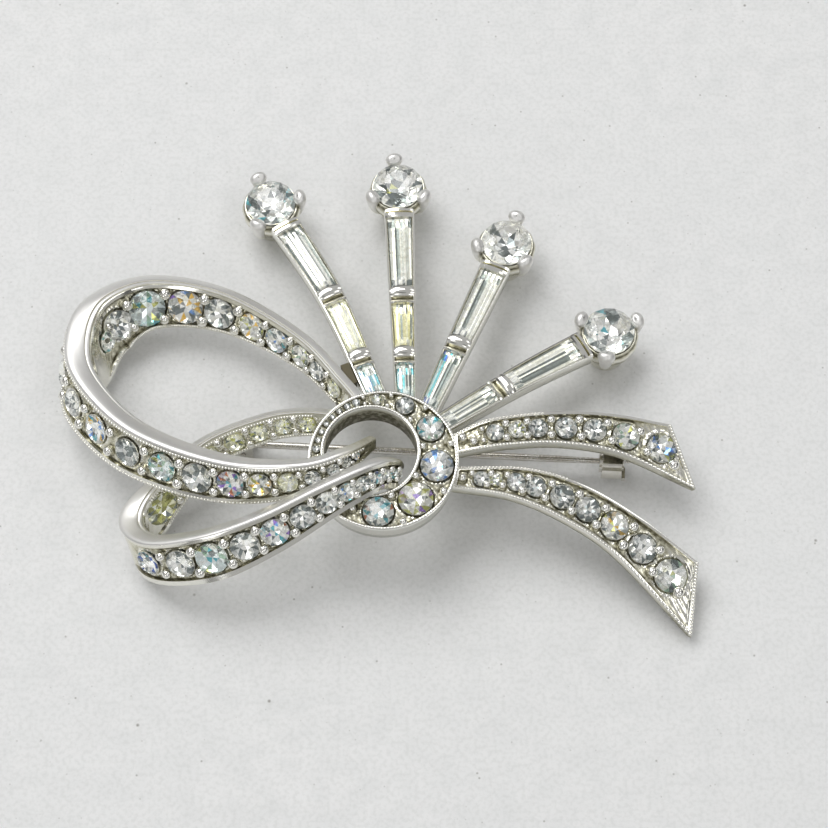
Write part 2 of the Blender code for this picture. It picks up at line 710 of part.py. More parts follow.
def catch(parent):
    """A C-shaped hook on a plate, and the turning lock that closes its mouth."""
    wide, thick = CATCH_PLATE
    under = CATCH_TOP - thick
    hook = finish("catch_base", arc_band(LOCK_R + RUNNING, HOOK_R, HOOK_HALF), PLATED, parent)
    half_neck = [(CATCH_NECK, HOOK_R - 0.3), (CATCH_NECK, under), (wide, under), (wide, CATCH_TOP)]
    outline = half_neck + [(-y, z) for y, z in reversed(half_neck)]
    neck = loft([[Vector((x, y, z)) for y, z in outline] for x in (-HOOK_HALF, HOOK_HALF)])
    combine(hook, "UNION", finish("neck", neck, PLATED, parent))
    lock = finish("catch_lock", arc_band(LOCK_BORE, LOCK_R, LOCK_HALF), PLATED, parent)
    half_lever, clear, proud = LEVER
    root = -LOCK_BORE - 0.15
    outline = [(-LEVER_REACH, -half_lever), (-LEVER_REACH, half_lever),
               (root, half_lever), (root, -half_lever)]
    ends = (HOOK_HALF + clear, LOCK_HALF + proud)
    lever = loft([[Vector((x, y, z)) for y, z in outline] for x in ends])
    combine(lock, "UNION", finish("lever", lever, PLATED, parent))


def lug(parent):
    place, size, turn = LUG
    shape = Matrix.Rotation(math.radians(turn), 4, "Z") @ Matrix.Diagonal((*size, 1))
    bm = bmesh.new()
    bmesh.ops.create_cube(bm, size=1.0, matrix=Matrix.Translation(place) @ shape)
    finish("back_lug", bm, PLATED, parent)


def build():
    clear_scene()
    knot = empty("knot_centre", None, KNOT_AT)
    knot_ring(knot)
    ring_stones(knot)
    for name, controls, back, front, outer_flare in LOOPS:
        ribbon = Ribbon(controls, back, front, outer_flare)
        cope(finish(name, ribbon.casting(), PLATED, knot), knot)
        finish(f"{name}_back_stones", ribbon.stone_row(1, back), ROUND_STONE, knot)
        finish(f"{name}_front_stones", ribbon.stone_row(-1, front), ROUND_STONE, knot)
    tail("upper_tail", UPPER_TAIL, UPPER_TAIL_STONES, knot)
    tail("lower_tail", LOWER_TAIL, LOWER_TAIL_STONES, knot)
    spray(knot)
    lug(knot)
    aim = CATCH_AT - HINGE_AT
    turn = math.atan2(aim.y, aim.x)
    hinge_axis = empty("hinge_axis", knot, HINGE_AT, turn)
    catch_axis = empty("catch_axis", knot, CATCH_AT, turn)
    hinge(hinge_axis)
    pin_stem(hinge_axis)
    catch(catch_axis)


build()
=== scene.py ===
"""Looks of the rhinestone ribbon-bow brooch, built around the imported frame.

Lengths are in millimetres in the knot's own frame, whose origin is the centre of the hole
in the knot, until a piece is made; then they become metres in the row's frame.
"""

import json
import math
import random

import bmesh
import bpy
import numpy as np
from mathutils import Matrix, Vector


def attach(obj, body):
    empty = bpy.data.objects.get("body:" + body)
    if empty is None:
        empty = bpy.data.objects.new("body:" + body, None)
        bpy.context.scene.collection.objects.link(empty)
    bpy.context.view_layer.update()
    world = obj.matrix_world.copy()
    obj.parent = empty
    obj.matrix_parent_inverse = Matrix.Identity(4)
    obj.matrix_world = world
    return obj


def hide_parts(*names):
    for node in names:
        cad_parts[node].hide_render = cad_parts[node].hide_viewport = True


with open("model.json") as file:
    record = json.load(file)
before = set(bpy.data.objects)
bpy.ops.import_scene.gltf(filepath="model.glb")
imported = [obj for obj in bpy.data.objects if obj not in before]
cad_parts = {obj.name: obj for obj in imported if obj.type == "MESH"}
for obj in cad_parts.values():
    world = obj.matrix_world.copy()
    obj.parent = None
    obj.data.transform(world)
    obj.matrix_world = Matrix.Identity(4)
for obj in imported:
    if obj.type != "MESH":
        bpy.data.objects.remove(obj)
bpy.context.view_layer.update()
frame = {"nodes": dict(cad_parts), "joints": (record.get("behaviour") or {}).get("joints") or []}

MM = 0.001
# Where the pin turns and where the hook holds it; they tell where the knot lies in the row's frame.
HINGE_AT = Vector((-13.6, 4.2, 2.0))
CATCH_AT = Vector((24.6, 2.2, 2.0))
hinge_joint = next(joint for joint in frame["joints"] if joint["name"] == "pin_hinge")
KNOT_AT = Vector(hinge_joint["pos_m"]) / MM - HINGE_AT
UP = np.array((0.0, 0.0, 1.0))

# Camera: where it looks, in the knot's frame, from how far and how high.
TARGET = Vector((4.3, 3.94, 10.1))
DISTANCE = 230.0
ELEVATION = 66.0
LENS = 100.0
SENSOR = 36.0

# Knot ring.
HOLE_R = 4.65
RING_R = 7.5
RING_CENTRE = np.array((1.25, -0.95))
RING_TOP = 10.1
RING_BOTTOM = 6.75
RING_DRAFT = 0.4
RING_RIM = 0.34
# Direction and size of the large stones; first and last direction and number of the tiny ones.
RING_STONES = [(-83, 3.3), (-49, 3.5), (-14, 3.3), (22, 2.7), (55, 2.2), (84, 1.5)]
RING_SMALL = (106, 178, 8)
# Single grains at the ends of the row: direction, distance from the hole's centre, and size.
RING_GRAINS = [(-103, 5.3, 0.35), (-106, 6.4, 0.4), (-118, 5.5, 0.35), (-122, 6.2, 0.3), (97, 5.15, 0.22),
               (98, 5.85, 0.22)]
# The ring's channel has tarnished a little more than the ribbons'.
RING_AGE = 0.14

# Stone channels: the rim beside them, their depth, the lip round each stone, the gap in it, and the
# number of lines of points across them. Stones sit a little below the face.
RIM = 0.45
PLATE = 0.32
LIP = 0.12
POCKET_GAP = 0.06
CHANNEL_STEPS = 26
STONE_LIFT = -0.05
STONE_DEPTH = 0.36
# The most that a stone is turned in its setting, in radians.
SPIN = 0.7
# The olive stone at the lower loop's bend is longer than it is wide.
LONG_STONE = 1.3
# Pitch and size of the tiny beads along the edges, and how little they are tarnished.
LOOP_BEADS = (0.32, 0.14)
TAIL_BEADS = (0.34, 0.17)
CLEAN = 0.1
# How far ahead and back a path is read for its direction.
LOOK_AHEAD = 0.4
# Edges sharper than this, in degrees, stay sharp.
SHARP = 35.0

# Ribbon loops: drop of the band's shoulders as a share of the thickness, the rim along the foot of
# the inner (+1) and outer (-1) faces, and the direction in which the ribbons hang.
SHOULDER = 0.16
FOOT_RIM = {1: 0.45, -1: 0.62}
FALL = np.array((0.0, -math.cos(math.radians(50)), -math.sin(math.radians(50))))
# Top edge of each loop: x, y, z, thickness, height, and how far the foot flares.
UPPER_LOOP = [
    (-0.9, 5.9, 9.0, 1.3, 2.7, 0.0),
    (-2.8, 8.5, 8.7, 1.3, 3.0, 0.0),
    (-7.4, 14.0, 7.9, 1.4, 3.7, 0.0),
    (-15.4, 19.6, 6.6, 1.7, 4.6, 0.0),
    (-23.4, 21.3, 6.2, 2.2, 5.4, 0.4),
    (-28.9, 18.6, 6.8, 2.6, 6.1, 1.4),
    (-30.3, 13.5, 7.7, 2.6, 6.2, 2.0),
    (-28.7, 8.5, 8.7, 2.4, 5.9, 1.4),
    (-23.3, 2.8, 9.9, 2.3, 5.4, 0.4),
    (-14.6, -1.2, 11.3, 2.0, 4.7, 0.0),
    (-7.0, -2.2, 12.6, 1.5, 3.6, 0.0),
    (-2.6, -1.1, 12.9, 1.2, 2.4, 0.0),
    (0.2, 1.1, 11.0, 0.9, 1.2, 0.0),
]
LOWER_LOOP = [
    (-3.6, 5.0, 8.3, 1.2, 2.7, 0.0),
    (-7.0, 5.5, 7.8, 1.2, 2.8, 0.0),
    (-11.2, 5.1, 7.1, 1.2, 2.9, 0.0),
    (-17.3, 2.9, 5.9, 1.4, 3.3, 0.0),
    (-22.8, -1.9, 4.7, 2.0, 4.2, 0.6),
    (-24.2, -5.2, 4.95, 2.4, 4.9, 1.2),
    (-22.0, -7.9, 6.7, 2.2, 5.2, 0.8),
    (-16.6, -8.3, 9.2, 1.9, 5.2, 0.0),
    (-10.9, -7.1, 11.2, 1.6, 4.6, 0.0),
    (-4.7, -4.6, 12.9, 1.4, 3.8, 0.0),
    (0.0, -2.4, 12.9, 1.3, 3.3, 0.0),
    (2.2, -1.3, 11.3, 1.2, 3.0, 0.0),
    (2.8, -1.0, 9.4, 1.2, 3.0, 0.0),
]
# Stones of each loop's inner (+1) and outer (-1) face: share of the way round the loop, and size.
UPPER_STONES = {
    1: [(0.044, 2.0), (0.080, 2.3), (0.114, 2.6), (0.158, 3.0), (0.200, 3.3), (0.253, 3.6), (0.304, 4.1),
        (0.366, 3.9), (0.432, 3.3), (0.476, 2.2)],
    -1: [(0.480, 2.6), (0.527, 2.9), (0.573, 3.1), (0.622, 3.1), (0.673, 3.0), (0.721, 3.0), (0.767, 3.2),
         (0.808, 2.8), (0.843, 2.4), (0.877, 2.0), (0.905, 1.6), (0.929, 1.3), (0.948, 1.2), (0.964, 1.0)],
}
LOWER_STONES = {
    1: [(0.051, 1.6), (0.098, 1.8), (0.145, 1.8), (0.192, 2.3), (0.25, 2.4), (0.31, 2.6), (0.376, 3.7)],
    -1: [(0.499, 2.7), (0.554, 3.1), (0.610, 3.3), (0.667, 3.0), (0.720, 2.9), (0.772, 2.6), (0.820, 2.4),
         (0.858, 2.0), (0.891, 1.7), (0.920, 1.4), (0.944, 1.2), (0.966, 1.1), (0.986, 1.0)],
}
# Cross profile of the polished band: share of the thickness, drop over it, and how dark it is there, darkest
# in the groove and at the inner shoulder.
BAND = [
    (-0.5, 0.16, 0.0), (-0.485, 0.115, 0.0), (-0.455, 0.075, 0.0), (-0.40, 0.04, 0.0),
    (-0.28, 0.01, 0.0), (-0.1, 0.0, 0.0), (0.1, 0.0, 0.0), (0.24, 0.012, 0.0),
    (0.285, 0.025, 0.1), (0.298, 0.08, 1.0), (0.311, 0.06, 0.3), (0.35, 0.045, 0.0),
    (0.42, 0.05, 0.0), (0.47, 0.07, 0.0), (0.49, 0.11, 0.3), (0.5, 0.16, 0.7),
]

# Ribbon tails: thickness, and a point on the far and on the near edge at each place along them.
TAIL_THICK = 1.5
UPPER_TAIL = [
    ((8.2, 2.6, 8.1), (8.4, 0.4, 8.1)),
    ((11.0, 4.0, 8.2), (11.2, 0.95, 8.2)),
    ((13.9, 4.7, 8.1), (14.0, 1.4, 8.1)),
    ((19.1, 5.3, 7.8), (19.1, 1.7, 7.8)),
    ((24.4, 5.3, 7.2), (25.4, 0.9, 6.9)),
    ((30.4, 4.5, 6.3), (32.8, -1.9, 4.6)),
]
LOWER_TAIL = [
    ((8.5, -0.9, 8.1), (8.1, -3.2, 8.1)),
    ((15.6, -0.9, 7.8), (14.0, -4.1, 7.8)),
    ((21.3, -2.4, 7.1), (19.4, -6.3, 7.0)),
    ((27.0, -5.4, 5.7), (24.6, -9.6, 5.5)),
    ((32.8, -9.5, 3.8), (32.0, -16.6, 1.4)),
]
# Distance along the tail and size of each stone.
UPPER_TAIL_STONES = [(4.6, 1.8), (6.9, 1.8), (9.1, 2.0), (11.9, 2.3), (14.6, 2.4), (17.5, 2.8), (20.8, 3.0)]
LOWER_TAIL_STONES = [(3.0, 1.6), (4.6, 1.4), (6.8, 1.9), (8.9, 2.1), (11.7, 2.5), (14.6, 2.6),
                     (17.9, 2.9), (21.2, 3.0), (24.3, 3.4)]

# Spray: each stem's direction from the knot, its head's centre, how far it bows to the left, and the
# lengths of its baguettes in proportion; then the directions of each head's three prongs.
STEMS = [
    (95, (-11.0, 30.9, 4.9), -0.9, (2.7, 4.8, 6.7)),
    (73, (2.6, 32.95, 4.9), 0.0, (2.8, 4.0, 6.6)),
    (55, (14.1, 26.0, 5.1), 0.0, (4.8, 6.5)),
    (39, (24.6, 15.4, 5.4), 0.3, (4.6, 6.6)),
]
PRONG_TURNS = [(116, 9, 246), (98, 210, 332), (69, 190, 308), (157, 21, 262)]
# A stem's foot at the ring, its width at both ends, its depth, wall and floor, the gap at its ends, and
# the metal before the first and after the last baguette.
STEM_FOOT_Z = 8.3
STEM_WIDTH = (2.2, 3.2)
STEM_DEPTH = 1.8
STEM_WALL = 0.27
STEM_FLOOR = 0.9
STEM_GAP = 0.12
STEM_ENDS = (0.3, 0.5)
# Tabs between baguettes reach a little way over them. A bar closes the stem under its head.
TAB_LENGTH = 1.5
TAB_REACH = 0.3
BAR_LENGTH = 1.15
HEAD_R = 2.65
CUP_R = 2.95
CUP_FOOT_R = 2.0

# Light of the room by height; and its darker and brighter patches: direction, height and reach in
# degrees, and how much darker or brighter they are.
ROOM = [(0.0, 0.22), (0.12, 0.36), (0.4, 0.46), (0.7, 0.44), (1.0, 0.42)]
PATCHES = [(-90, 68, 7, 0.35), (10, 18, 20, 0.25), (170, 30, 14, 0.3), (95, 12, 16, 0.4), (-50, 25, 8, 0.2),
           (-135, 40, 7, 0.25), (-112, 20, 8, 6.0), (-60, 38, 8, 6.0), (-20, 55, 8, 6.0), (-165, 62, 8, 5.0),
           (40, 45, 8, 5.0), (-100, 50, 6, 5.0)]

# Pin: wire, how far it reaches past the catch, and its eye.
PIN_R = 0.38
PIN_OVERHANG = 2.2
EYE_R = 0.95
EYE_HALF = 0.6

# Colours of the foil behind the stones' facets, and of the painted glints in some of them: the coloured
# glints stand in for the stones' fire, and DARK and GREY facets are painted reflections.
SILVER = (0.97, 0.97, 0.945)
GREY = (0.82, 0.84, 0.82)
DARK = (0.24, 0.27, 0.27)
NAVY = (0.05, 0.12, 0.42)
DEEP_OLIVE = (0.40, 0.40, 0.17)
TEAL = (0.16, 0.52, 0.60)
BLUE = (0.22, 0.40, 0.80)
AMBER = (0.95, 0.62, 0.16)
RED_BROWN = (0.62, 0.25, 0.14)
VIOLET = (0.42, 0.26, 0.80)
OLIVE = (0.58, 0.60, 0.22)
CREAM = (0.93, 0.93, 0.74)
GREEN = (0.45, 0.62, 0.50)
YELLOW = (0.95, 0.92, 0.62)
SEA_WHITE = (0.88, 0.95, 0.95)
# What a stone shows: its own colour, and the colours of its painted glints.
NONE = (SILVER, ())
STEELY = (SILVER, (DARK, GREY, DARK))
CREAMY = (CREAM, (SILVER, OLIVE))
EMBER = (SILVER, (BLUE, RED_BROWN, VIOLET, TEAL))
MIDNIGHT = (SILVER, (NAVY, NAVY, TEAL))
AMBER_GLINTS = (SILVER, (DARK, AMBER, OLIVE))
COOL = (SILVER, (TEAL, BLUE, GREY))
FIRE = (SILVER, (TEAL, RED_BROWN, DARK, TEAL))
SUNSET = (SILVER, (TEAL, AMBER, BLUE))
DUSK = (SILVER, (VIOLET, BLUE, AMBER))
MOSS = (SILVER, (OLIVE, CREAM, GREEN))
HALF_OLIVE = (SILVER, (OLIVE, OLIVE, AMBER, GREY))
OLD_OLIVE = (DEEP_OLIVE, (OLIVE, CREAM))
SEA = (SILVER, (TEAL, GREEN))
DEEP_SEA = (SEA_WHITE, (TEAL, GREEN, OLIVE))
STREAKS = (SILVER, (DARK, NAVY, TEAL))
# Of a stone's facets, this share shows a painted glint, the next show a painted dark reflection up to here,
# and the next a painted grey reflection up to here.
GLINTING = 0.22
DARK_UP_TO = 0.37
GREY_UP_TO = 0.5


def unit(rows):
    return rows / np.linalg.norm(rows, axis=-1, keepdims=True)


def heading(angle):
    """The level unit vector at an angle, and the one to its left."""
    out = np.array((math.cos(angle), math.sin(angle), 0.0))
    return out, np.array((-out[1], out[0], 0.0))


def circle(count):
    """Angles evenly spaced round a circle."""
    return np.linspace(0, 2 * math.pi, count + 1)[:-1]


def hoop(centre, first, second, turns):
    """Points round a centre, turning from the first axis to the second."""
    return centre + np.outer(np.cos(turns), first) + np.outer(np.sin(turns), second)


def ball():
    """Points and faces of a unit ball."""
    bm = bmesh.new()
    bmesh.ops.create_icosphere(bm, subdivisions=2, radius=1.0)
    bm.verts.index_update()
    points = np.array([vertex.co for vertex in bm.verts])
    faces = [tuple(vertex.index for vertex in face.verts) for face in bm.faces]
    bm.free()
    return points, faces


def skin_faces(n, m, closed=False):
    """Faces of a skin over n rings of m points, with flat ends unless it closes on itself."""
    faces = []
    for i in range(n if closed else n - 1):
        a = i * m
        b = (i + 1) % n * m
        faces += [(a + j, a + (j + 1) % m, b + (j + 1) % m, b + j) for j in range(m)]
    if not closed:
        faces += [tuple(range(m)), tuple(range((n - 1) * m, n * m))]
    return faces


def new_object(name, data):
    """An object that shows the data in the scene."""
    made = bpy.data.objects.new(name, data)
    bpy.context.scene.collection.objects.link(made)
    return made


BALL = ball()


class Path:
    """A smooth curve through rows of values, read by the distance along it.

    The first three values of a row are a point, and any others go with it."""

    def __init__(self, controls, samples=40):
        rows = np.array(controls, float)
        rows = np.vstack([2 * rows[0] - rows[1], rows, 2 * rows[-1] - rows[-2]])
        dense = []
        u = (np.arange(samples) / samples)[:, None]
        for i in range(1, len(rows) - 2):
            before, start, end, after = rows[i - 1:i + 3]
            bend = 2 * before - 5 * start + 4 * end - after
            twist = 3 * start - before - 3 * end + after
            dense.append(0.5 * (2 * start + (end - before) * u + bend * u**2 + twist * u**3))
        self.rows = np.vstack(dense + [rows[-2:-1]])
        steps = np.linalg.norm(np.diff(self.rows[:, :3], axis=0), axis=1)
        self.travel = np.concatenate([[0.0], np.cumsum(steps)])
        self.length = self.travel[-1]

    def at(self, s):
        """The path's values at distances s."""
        return np.stack([np.interp(s, self.travel, column) for column in self.rows.T], axis=-1)

    def step(self, s):
        """The change of the values over a short stretch around distances s."""
        return self.at(s + LOOK_AHEAD) - self.at(s - LOOK_AHEAD)


class Shape:
    """The points and faces of one piece, with tarnish and painted shade per point and a colour per face."""

    def __init__(self):
        self.points = []
        self.tarnish_and_shade = []
        self.faces = []
        self.slots = []
        self.tints = []
        self.count = 0

    def add(self, points, faces, slot=0, tint=SILVER, tarnish_and_shade=0.0):
        points = np.asarray(points, float).reshape(-1, 3)
        self.points.append(points)
        self.tarnish_and_shade.append(np.broadcast_to(tarnish_and_shade, (len(points),)).astype(float))
        self.faces += [tuple(i + self.count for i in face) for face in faces]
        self.slots += [slot] * len(faces) if isinstance(slot, int) else slot
        self.tints += [tint] * len(faces) if isinstance(tint, tuple) else tint
        self.count += len(points)

    def sweep(self, rings, tarnish_and_shade=0.0, closed=False, satin=0):
        """A skin over rings of points, shaped (rings, points, 3).

        The first few strips along it, counted by satin, take the second material."""
        n, m = rings.shape[:2]
        faces = skin_faces(n, m, closed)
        slots = [1 if j < satin else 0 for j in range(m)] * (n if closed else n - 1)
        slots += [0] * (len(faces) - len(slots))
        self.add(rings, faces, slots, tarnish_and_shade=np.broadcast_to(tarnish_and_shade, (n, m)).reshape(-1))

    def skin(self, columns, more=0.0, **how):
        """A skin over lines of points that lie side by side, each given with its tarnish and painted shade.
        """
        rings = np.stack([points for points, _ in columns], axis=1)
        levels = np.stack([np.broadcast_to(level, len(rings)) for _, level in columns], axis=1)
        self.sweep(rings, levels + more, **how)

    def beads(self, centres, radii, tarnish_and_shade=0.15):
        """Round grains, with painted shade underneath."""
        points, faces = BALL
        level = np.clip(tarnish_and_shade - 0.5 * points[:, 2], 0.0, 1.0)
        for centre, radius in zip(centres, np.broadcast_to(radii, (len(centres),))):
            self.add(np.asarray(centre) + points * radius, faces, tarnish_and_shade=level)

    def make(self, name, materials, nodes=(), body="root", flat=False):
        """Turn the shape into a piece that rides on a body and stands for CAD nodes."""
        points = (np.vstack(self.points) + np.array(KNOT_AT)) * MM
        mesh = bpy.data.meshes.new(name)
        mesh.from_pydata(points.tolist(), [], self.faces)
        for made in materials:
            mesh.materials.append(made)
        mesh.polygons.foreach_set("material_index", self.slots)
        level = mesh.attributes.new("tarnish_and_shade", "FLOAT", "POINT")
        level.data.foreach_set("value", np.concatenate(self.tarnish_and_shade))
        colours = np.repeat(np.array(self.tints), [len(face) for face in self.faces], axis=0)
        colours = np.hstack([colours, np.ones((len(colours), 1))])
        tint = mesh.attributes.new("tint", "FLOAT_COLOR", "CORNER")
        tint.data.foreach_set("color", colours.ravel())
        bm = bmesh.new()
        bm.from_mesh(mesh)
        bmesh.ops.recalc_face_normals(bm, faces=bm.faces[:])
        bm.to_mesh(mesh)
        bm.free()
        if flat:
            mesh.shade_flat()
        else:
            mesh.shade_smooth()
            mesh.set_sharp_from_angle(angle=math.radians(SHARP))
        piece = new_object(name, mesh)
        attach(piece, body)
        if nodes:
            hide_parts(*nodes)


# ---------------- materials


class NodeTree:
    """Short helpers that add nodes to the tree of a material or of the world."""

    def __init__(self, owner, coordinates):
        owner.use_nodes = True
        self.nodes = owner.node_tree.nodes
        self.links = owner.node_tree.links
        self.place = self.nodes.new("ShaderNodeTexCoord").outputs[coordinates]

    def feed(self, socket, value):
        """Give a socket a number, a colour or a link."""
        if isinstance(value, float):
            socket.default_value = value
        elif isinstance(value, tuple):
            socket.default_value = (*value, 1.0)
        else:
            self.links.new(value, socket)

    def ramp(self, value, stops):
        """A value turned into greys or colours, given as places and shades."""
        node = self.nodes.new("ShaderNodeValToRGB")
        elements = node.color_ramp.elements
        while len(elements) < len(stops):
            elements.new(0.5)
        for element, (position, colour) in zip(elements, stops):
            element.position = position
            element.color = (*colour, 1.0) if isinstance(colour, tuple) else (colour, colour, colour, 1.0)
        self.links.new(value, node.inputs["Fac"])
        return node.outputs["Color"]

    def maths(self, operation, first, second):
        node = self.nodes.new("ShaderNodeMath")
        node.operation = operation
        node.use_clamp = True
        self.feed(node.inputs[0], first)
        self.feed(node.inputs[1], second)
        return node.outputs[0]

    def mix(self, share, first, second, kind="MIX"):
        """Two colours mixed; the sockets are those that a mix of colours uses."""
        node = self.nodes.new("ShaderNodeMix")
        node.data_type = "RGBA"
        node.blend_type = kind
        for socket, value in ((0, share), (6, first), (7, second)):
            self.feed(node.inputs[socket], value)
        return node.outputs[2]


class Look(NodeTree):
    """A node material on a Principled shader."""

    def __init__(self, name, **values):
        self.material = bpy.data.materials.new(name)
        super().__init__(self.material, "Object")
        self.shader = self.nodes["Principled BSDF"]
        for socket, value in values.items():
            self.shader.inputs[socket.replace("_", " ")].default_value = value

    def noise(self, scale, detail=4.0):
        """Noise with features of about 1/scale millimetres."""
        node = self.nodes.new("ShaderNodeTexNoise")
        node.inputs["Scale"].default_value = scale / MM
        node.inputs["Detail"].default_value = detail
        self.links.new(self.place, node.inputs["Vector"])
        return node.outputs["Fac"]

    def attribute(self, name, output="Fac"):
        node = self.nodes.new("ShaderNodeAttribute")
        node.attribute_name = name
        return node.outputs[output]

    def bump(self, height, strength, distance):
        node = self.nodes.new("ShaderNodeBump")
        node.inputs["Strength"].default_value = strength
        node.inputs["Distance"].default_value = distance * MM
        self.links.new(height, node.inputs["Height"])
        self.links.new(node.outputs["Normal"], self.shader.inputs["Normal"])

    def set(self, socket, value):
        self.links.new(value, self.shader.inputs[socket])


def plated_look(name, clean, base_rough, spread, stain_and_shade_share=1.0, metallic=1.0):
    """Rhodium-coloured plating that has gone olive and brown in its recesses, and turns near black where
    painted shade is given.

    Spread is how far patches of tarnish reach over its open parts, and stain_and_shade_share how bright the
    stain and painted shade are."""
    look = Look(name, Metallic=metallic)
    patches = look.noise(0.9)
    fine = look.noise(4.5, detail=6.0)
    uneven = look.ramp(look.noise(2.2), [(0.35, 0.75), (0.6, 1.0)])
    level = look.maths("MULTIPLY", look.attribute("tarnish_and_shade"), uneven)
    level = look.maths("ADD", level, look.maths("MULTIPLY", look.maths("SUBTRACT", patches, 0.52), spread))
    stops = [(0.0, (0.80, 0.78, 0.58)), (0.45, (0.52, 0.49, 0.27)), (0.9, (0.09, 0.08, 0.035))]
    stain_and_shade = look.ramp(level, [(place, tuple(stain_and_shade_share * c for c in colour)) for place, colour in stops])
    bright = look.ramp(patches, [(0.25, tuple(0.95 * c for c in clean)), (0.75, clean)])
    look.set("Base Color", look.mix(level, bright, stain_and_shade))
    look.set("Roughness", look.ramp(look.maths("ADD", level, look.maths("MULTIPLY", fine, 0.12)),
                                    [(0.0, base_rough), (0.35, base_rough + 0.08), (1.0, 0.45)]))
    look.bump(fine, 0.08, 0.04)
    return look.material


def steel_look():
    """Drawn steel wire, with faint lines along it and worn plating."""
    look = Look("steel_wire", Metallic=1.0)
    fine = look.noise(6.0, detail=5.0)
    worn = look.noise(0.5)
    look.set("Base Color", look.ramp(worn, [(0.3, (0.60, 0.56, 0.50)), (0.7, (0.80, 0.79, 0.76))]))
    look.set("Roughness", look.ramp(fine, [(0.3, 0.18), (0.8, 0.34)]))
    look.bump(fine, 0.15, 0.03)
    return look.material


def glass_look(name, thin, rich, bend):
    """Clear cut glass with faint clouding."""
    look = Look(name, Transmission_Weight=1.0, IOR=bend, Roughness=0.0, Coat_Weight=0.6, Coat_Roughness=0.02)
    cloud = look.noise(0.7)
    look.set("Base Color", look.ramp(cloud, [(0.35, thin), (0.7, rich)]))
    return look.material


def foil_look(name, rough, painted_glow):
    """The mirror foil behind a stone, in the colour of each facet, which also glows faintly in that colour:
    painted light that brightens the stone.
    """
    look = Look(name, Metallic=1.0, Roughness=rough, Emission_Strength=painted_glow)
    worn = look.ramp(look.noise(2.2), [(0.3, (0.78, 0.77, 0.70)), (0.55, (1.0, 1.0, 1.0))])
    colour = look.mix(1.0, look.attribute("tint", "Color"), worn, kind="MULTIPLY")
    look.set("Base Color", colour)
    look.set("Emission Color", colour)
    return look.material


METAL = plated_look("plated_casting", (0.92, 0.91, 0.86), 0.08, 0.2)
FITTING = plated_look("plated_fittings", (0.80, 0.78, 0.72), 0.2, 0.9)
# The back lug is near black: painted shade under the knot, over some tarnish.
SHADED_LUG_METAL = plated_look("tarnished_and_shaded_fittings", (0.09, 0.075, 0.035), 0.45, 1.2, stain_and_shade_share=0.14, metallic=0.3)
SATIN = plated_look("satin_casting", (0.88, 0.87, 0.845), 0.42, 0.1)
STEEL = steel_look()
GLASS = glass_look("clear_stone", (0.97, 0.98, 0.98), (1.0, 1.0, 1.0), 1.4)
HEAD_GLASS = glass_look("head_stone", (0.98, 0.98, 0.99), (1.0, 1.0, 1.0), 1.56)
YELLOWED = glass_look("yellowed_stone", (0.98, 0.98, 0.88), (1.0, 1.0, 0.96), 1.4)
# The foils glow faintly: painted light that brightens the stones.
FOIL = foil_look("stone_foil", 0.07, 0.19)
HEAD_FOIL = foil_look("head_foil", 0.07, 0.26)
BAR_FOIL = foil_look("baguette_foil", 0.2, 0.33)


# ---------------- stones


def axes_of(normal, along):
    """Right-handed axes whose third is the normal and whose first leans along."""
    third = unit(np.asarray(normal, float))
    first = unit(np.asarray(along, float) - third * np.dot(along, third))
    return np.stack([first, np.cross(third, first), third])


def facet_colour(rng, mood):
    """A foil colour for one facet: mostly the mood's own, with some painted grey and dark reflections and
    painted coloured glints.
    """
    base, accents = mood
    draw = rng.random()
    if accents and draw < GLINTING:
        return accents[rng.randrange(len(accents))]
    if draw < DARK_UP_TO:
        return DARK
    if draw < GREY_UP_TO:
        return GREY
    return base


def gem(shape, centre, axes, radius, rng, mood=NONE, crown=0.34, depth=STONE_DEPTH, spin=0.0):
    """A round brilliant: table, star, kite and girdle facets in glass over a foiled back.

    Crown and depth are shares of the radius, and so are the sizes here."""
    turns = 2 * math.pi * np.arange(16) / 16 + spin
    ring = np.stack([np.cos(turns), np.sin(turns), 0 * turns], axis=1)
    girdle = 0.05
    table_r = 0.56
    side_r = 0.79
    side_z = girdle + (crown - girdle) * (1 - side_r * math.cos(math.pi / 8)) / (1 - table_r)
    rows = [(ring[0::2], table_r, crown), (ring[1::2], side_r, side_z), (ring, 1.0, girdle),
            (ring, 1.0, -girdle), (ring[1::2], 0.66, -girdle - (depth - girdle) * 0.5),
            (ring[0::2], 0.36, -girdle - (depth - girdle) * 0.85)]
    points = np.vstack([corners * r + (0, 0, z) for corners, r, z in rows] + [(0, 0, -depth)])
    # First point of each row: table, sides, upper and lower girdle, backs and hearts; then the tip.
    a, b, c, d, e, h, tip = 0, 8, 16, 32, 48, 56, 64
    faces = [tuple(range(8))]
    for k in range(8):
        faces += [(a + k, a + (k + 1) % 8, b + k), (a + k, b + (k - 1) % 8, c + 2 * k, b + k),
                  (b + k, c + 2 * k, c + 2 * k + 1), (b + k, c + 2 * k + 1, c + (2 * k + 2) % 16)]
    front = len(faces)
    for k in range(16):
        faces.append((c + k, c + (k + 1) % 16, d + (k + 1) % 16, d + k))
    for k in range(8):
        n = (k + 1) % 8
        faces += [(tip, h + k, h + n), (h + n, h + k, e + k), (h + k, e + (k - 1) % 8, d + 2 * k),
                  (h + k, d + 2 * k, e + k), (e + k, d + 2 * k, d + 2 * k + 1),
                  (e + k, d + 2 * k + 1, d + (2 * k + 2) % 16)]
    back = len(faces) - front
    # The crown and the girdle band stay silver; the other back facets take the mood's colour with painted
    # dark and grey reflections and painted glints.
    tints = [SILVER] * (front + 16)
    tints += [facet_colour(rng, mood) for _ in range(16, back)]
    world = np.asarray(centre) + (points * radius) @ axes
    shape.add(world, faces, slot=[0] * front + [1] * back, tint=tints)


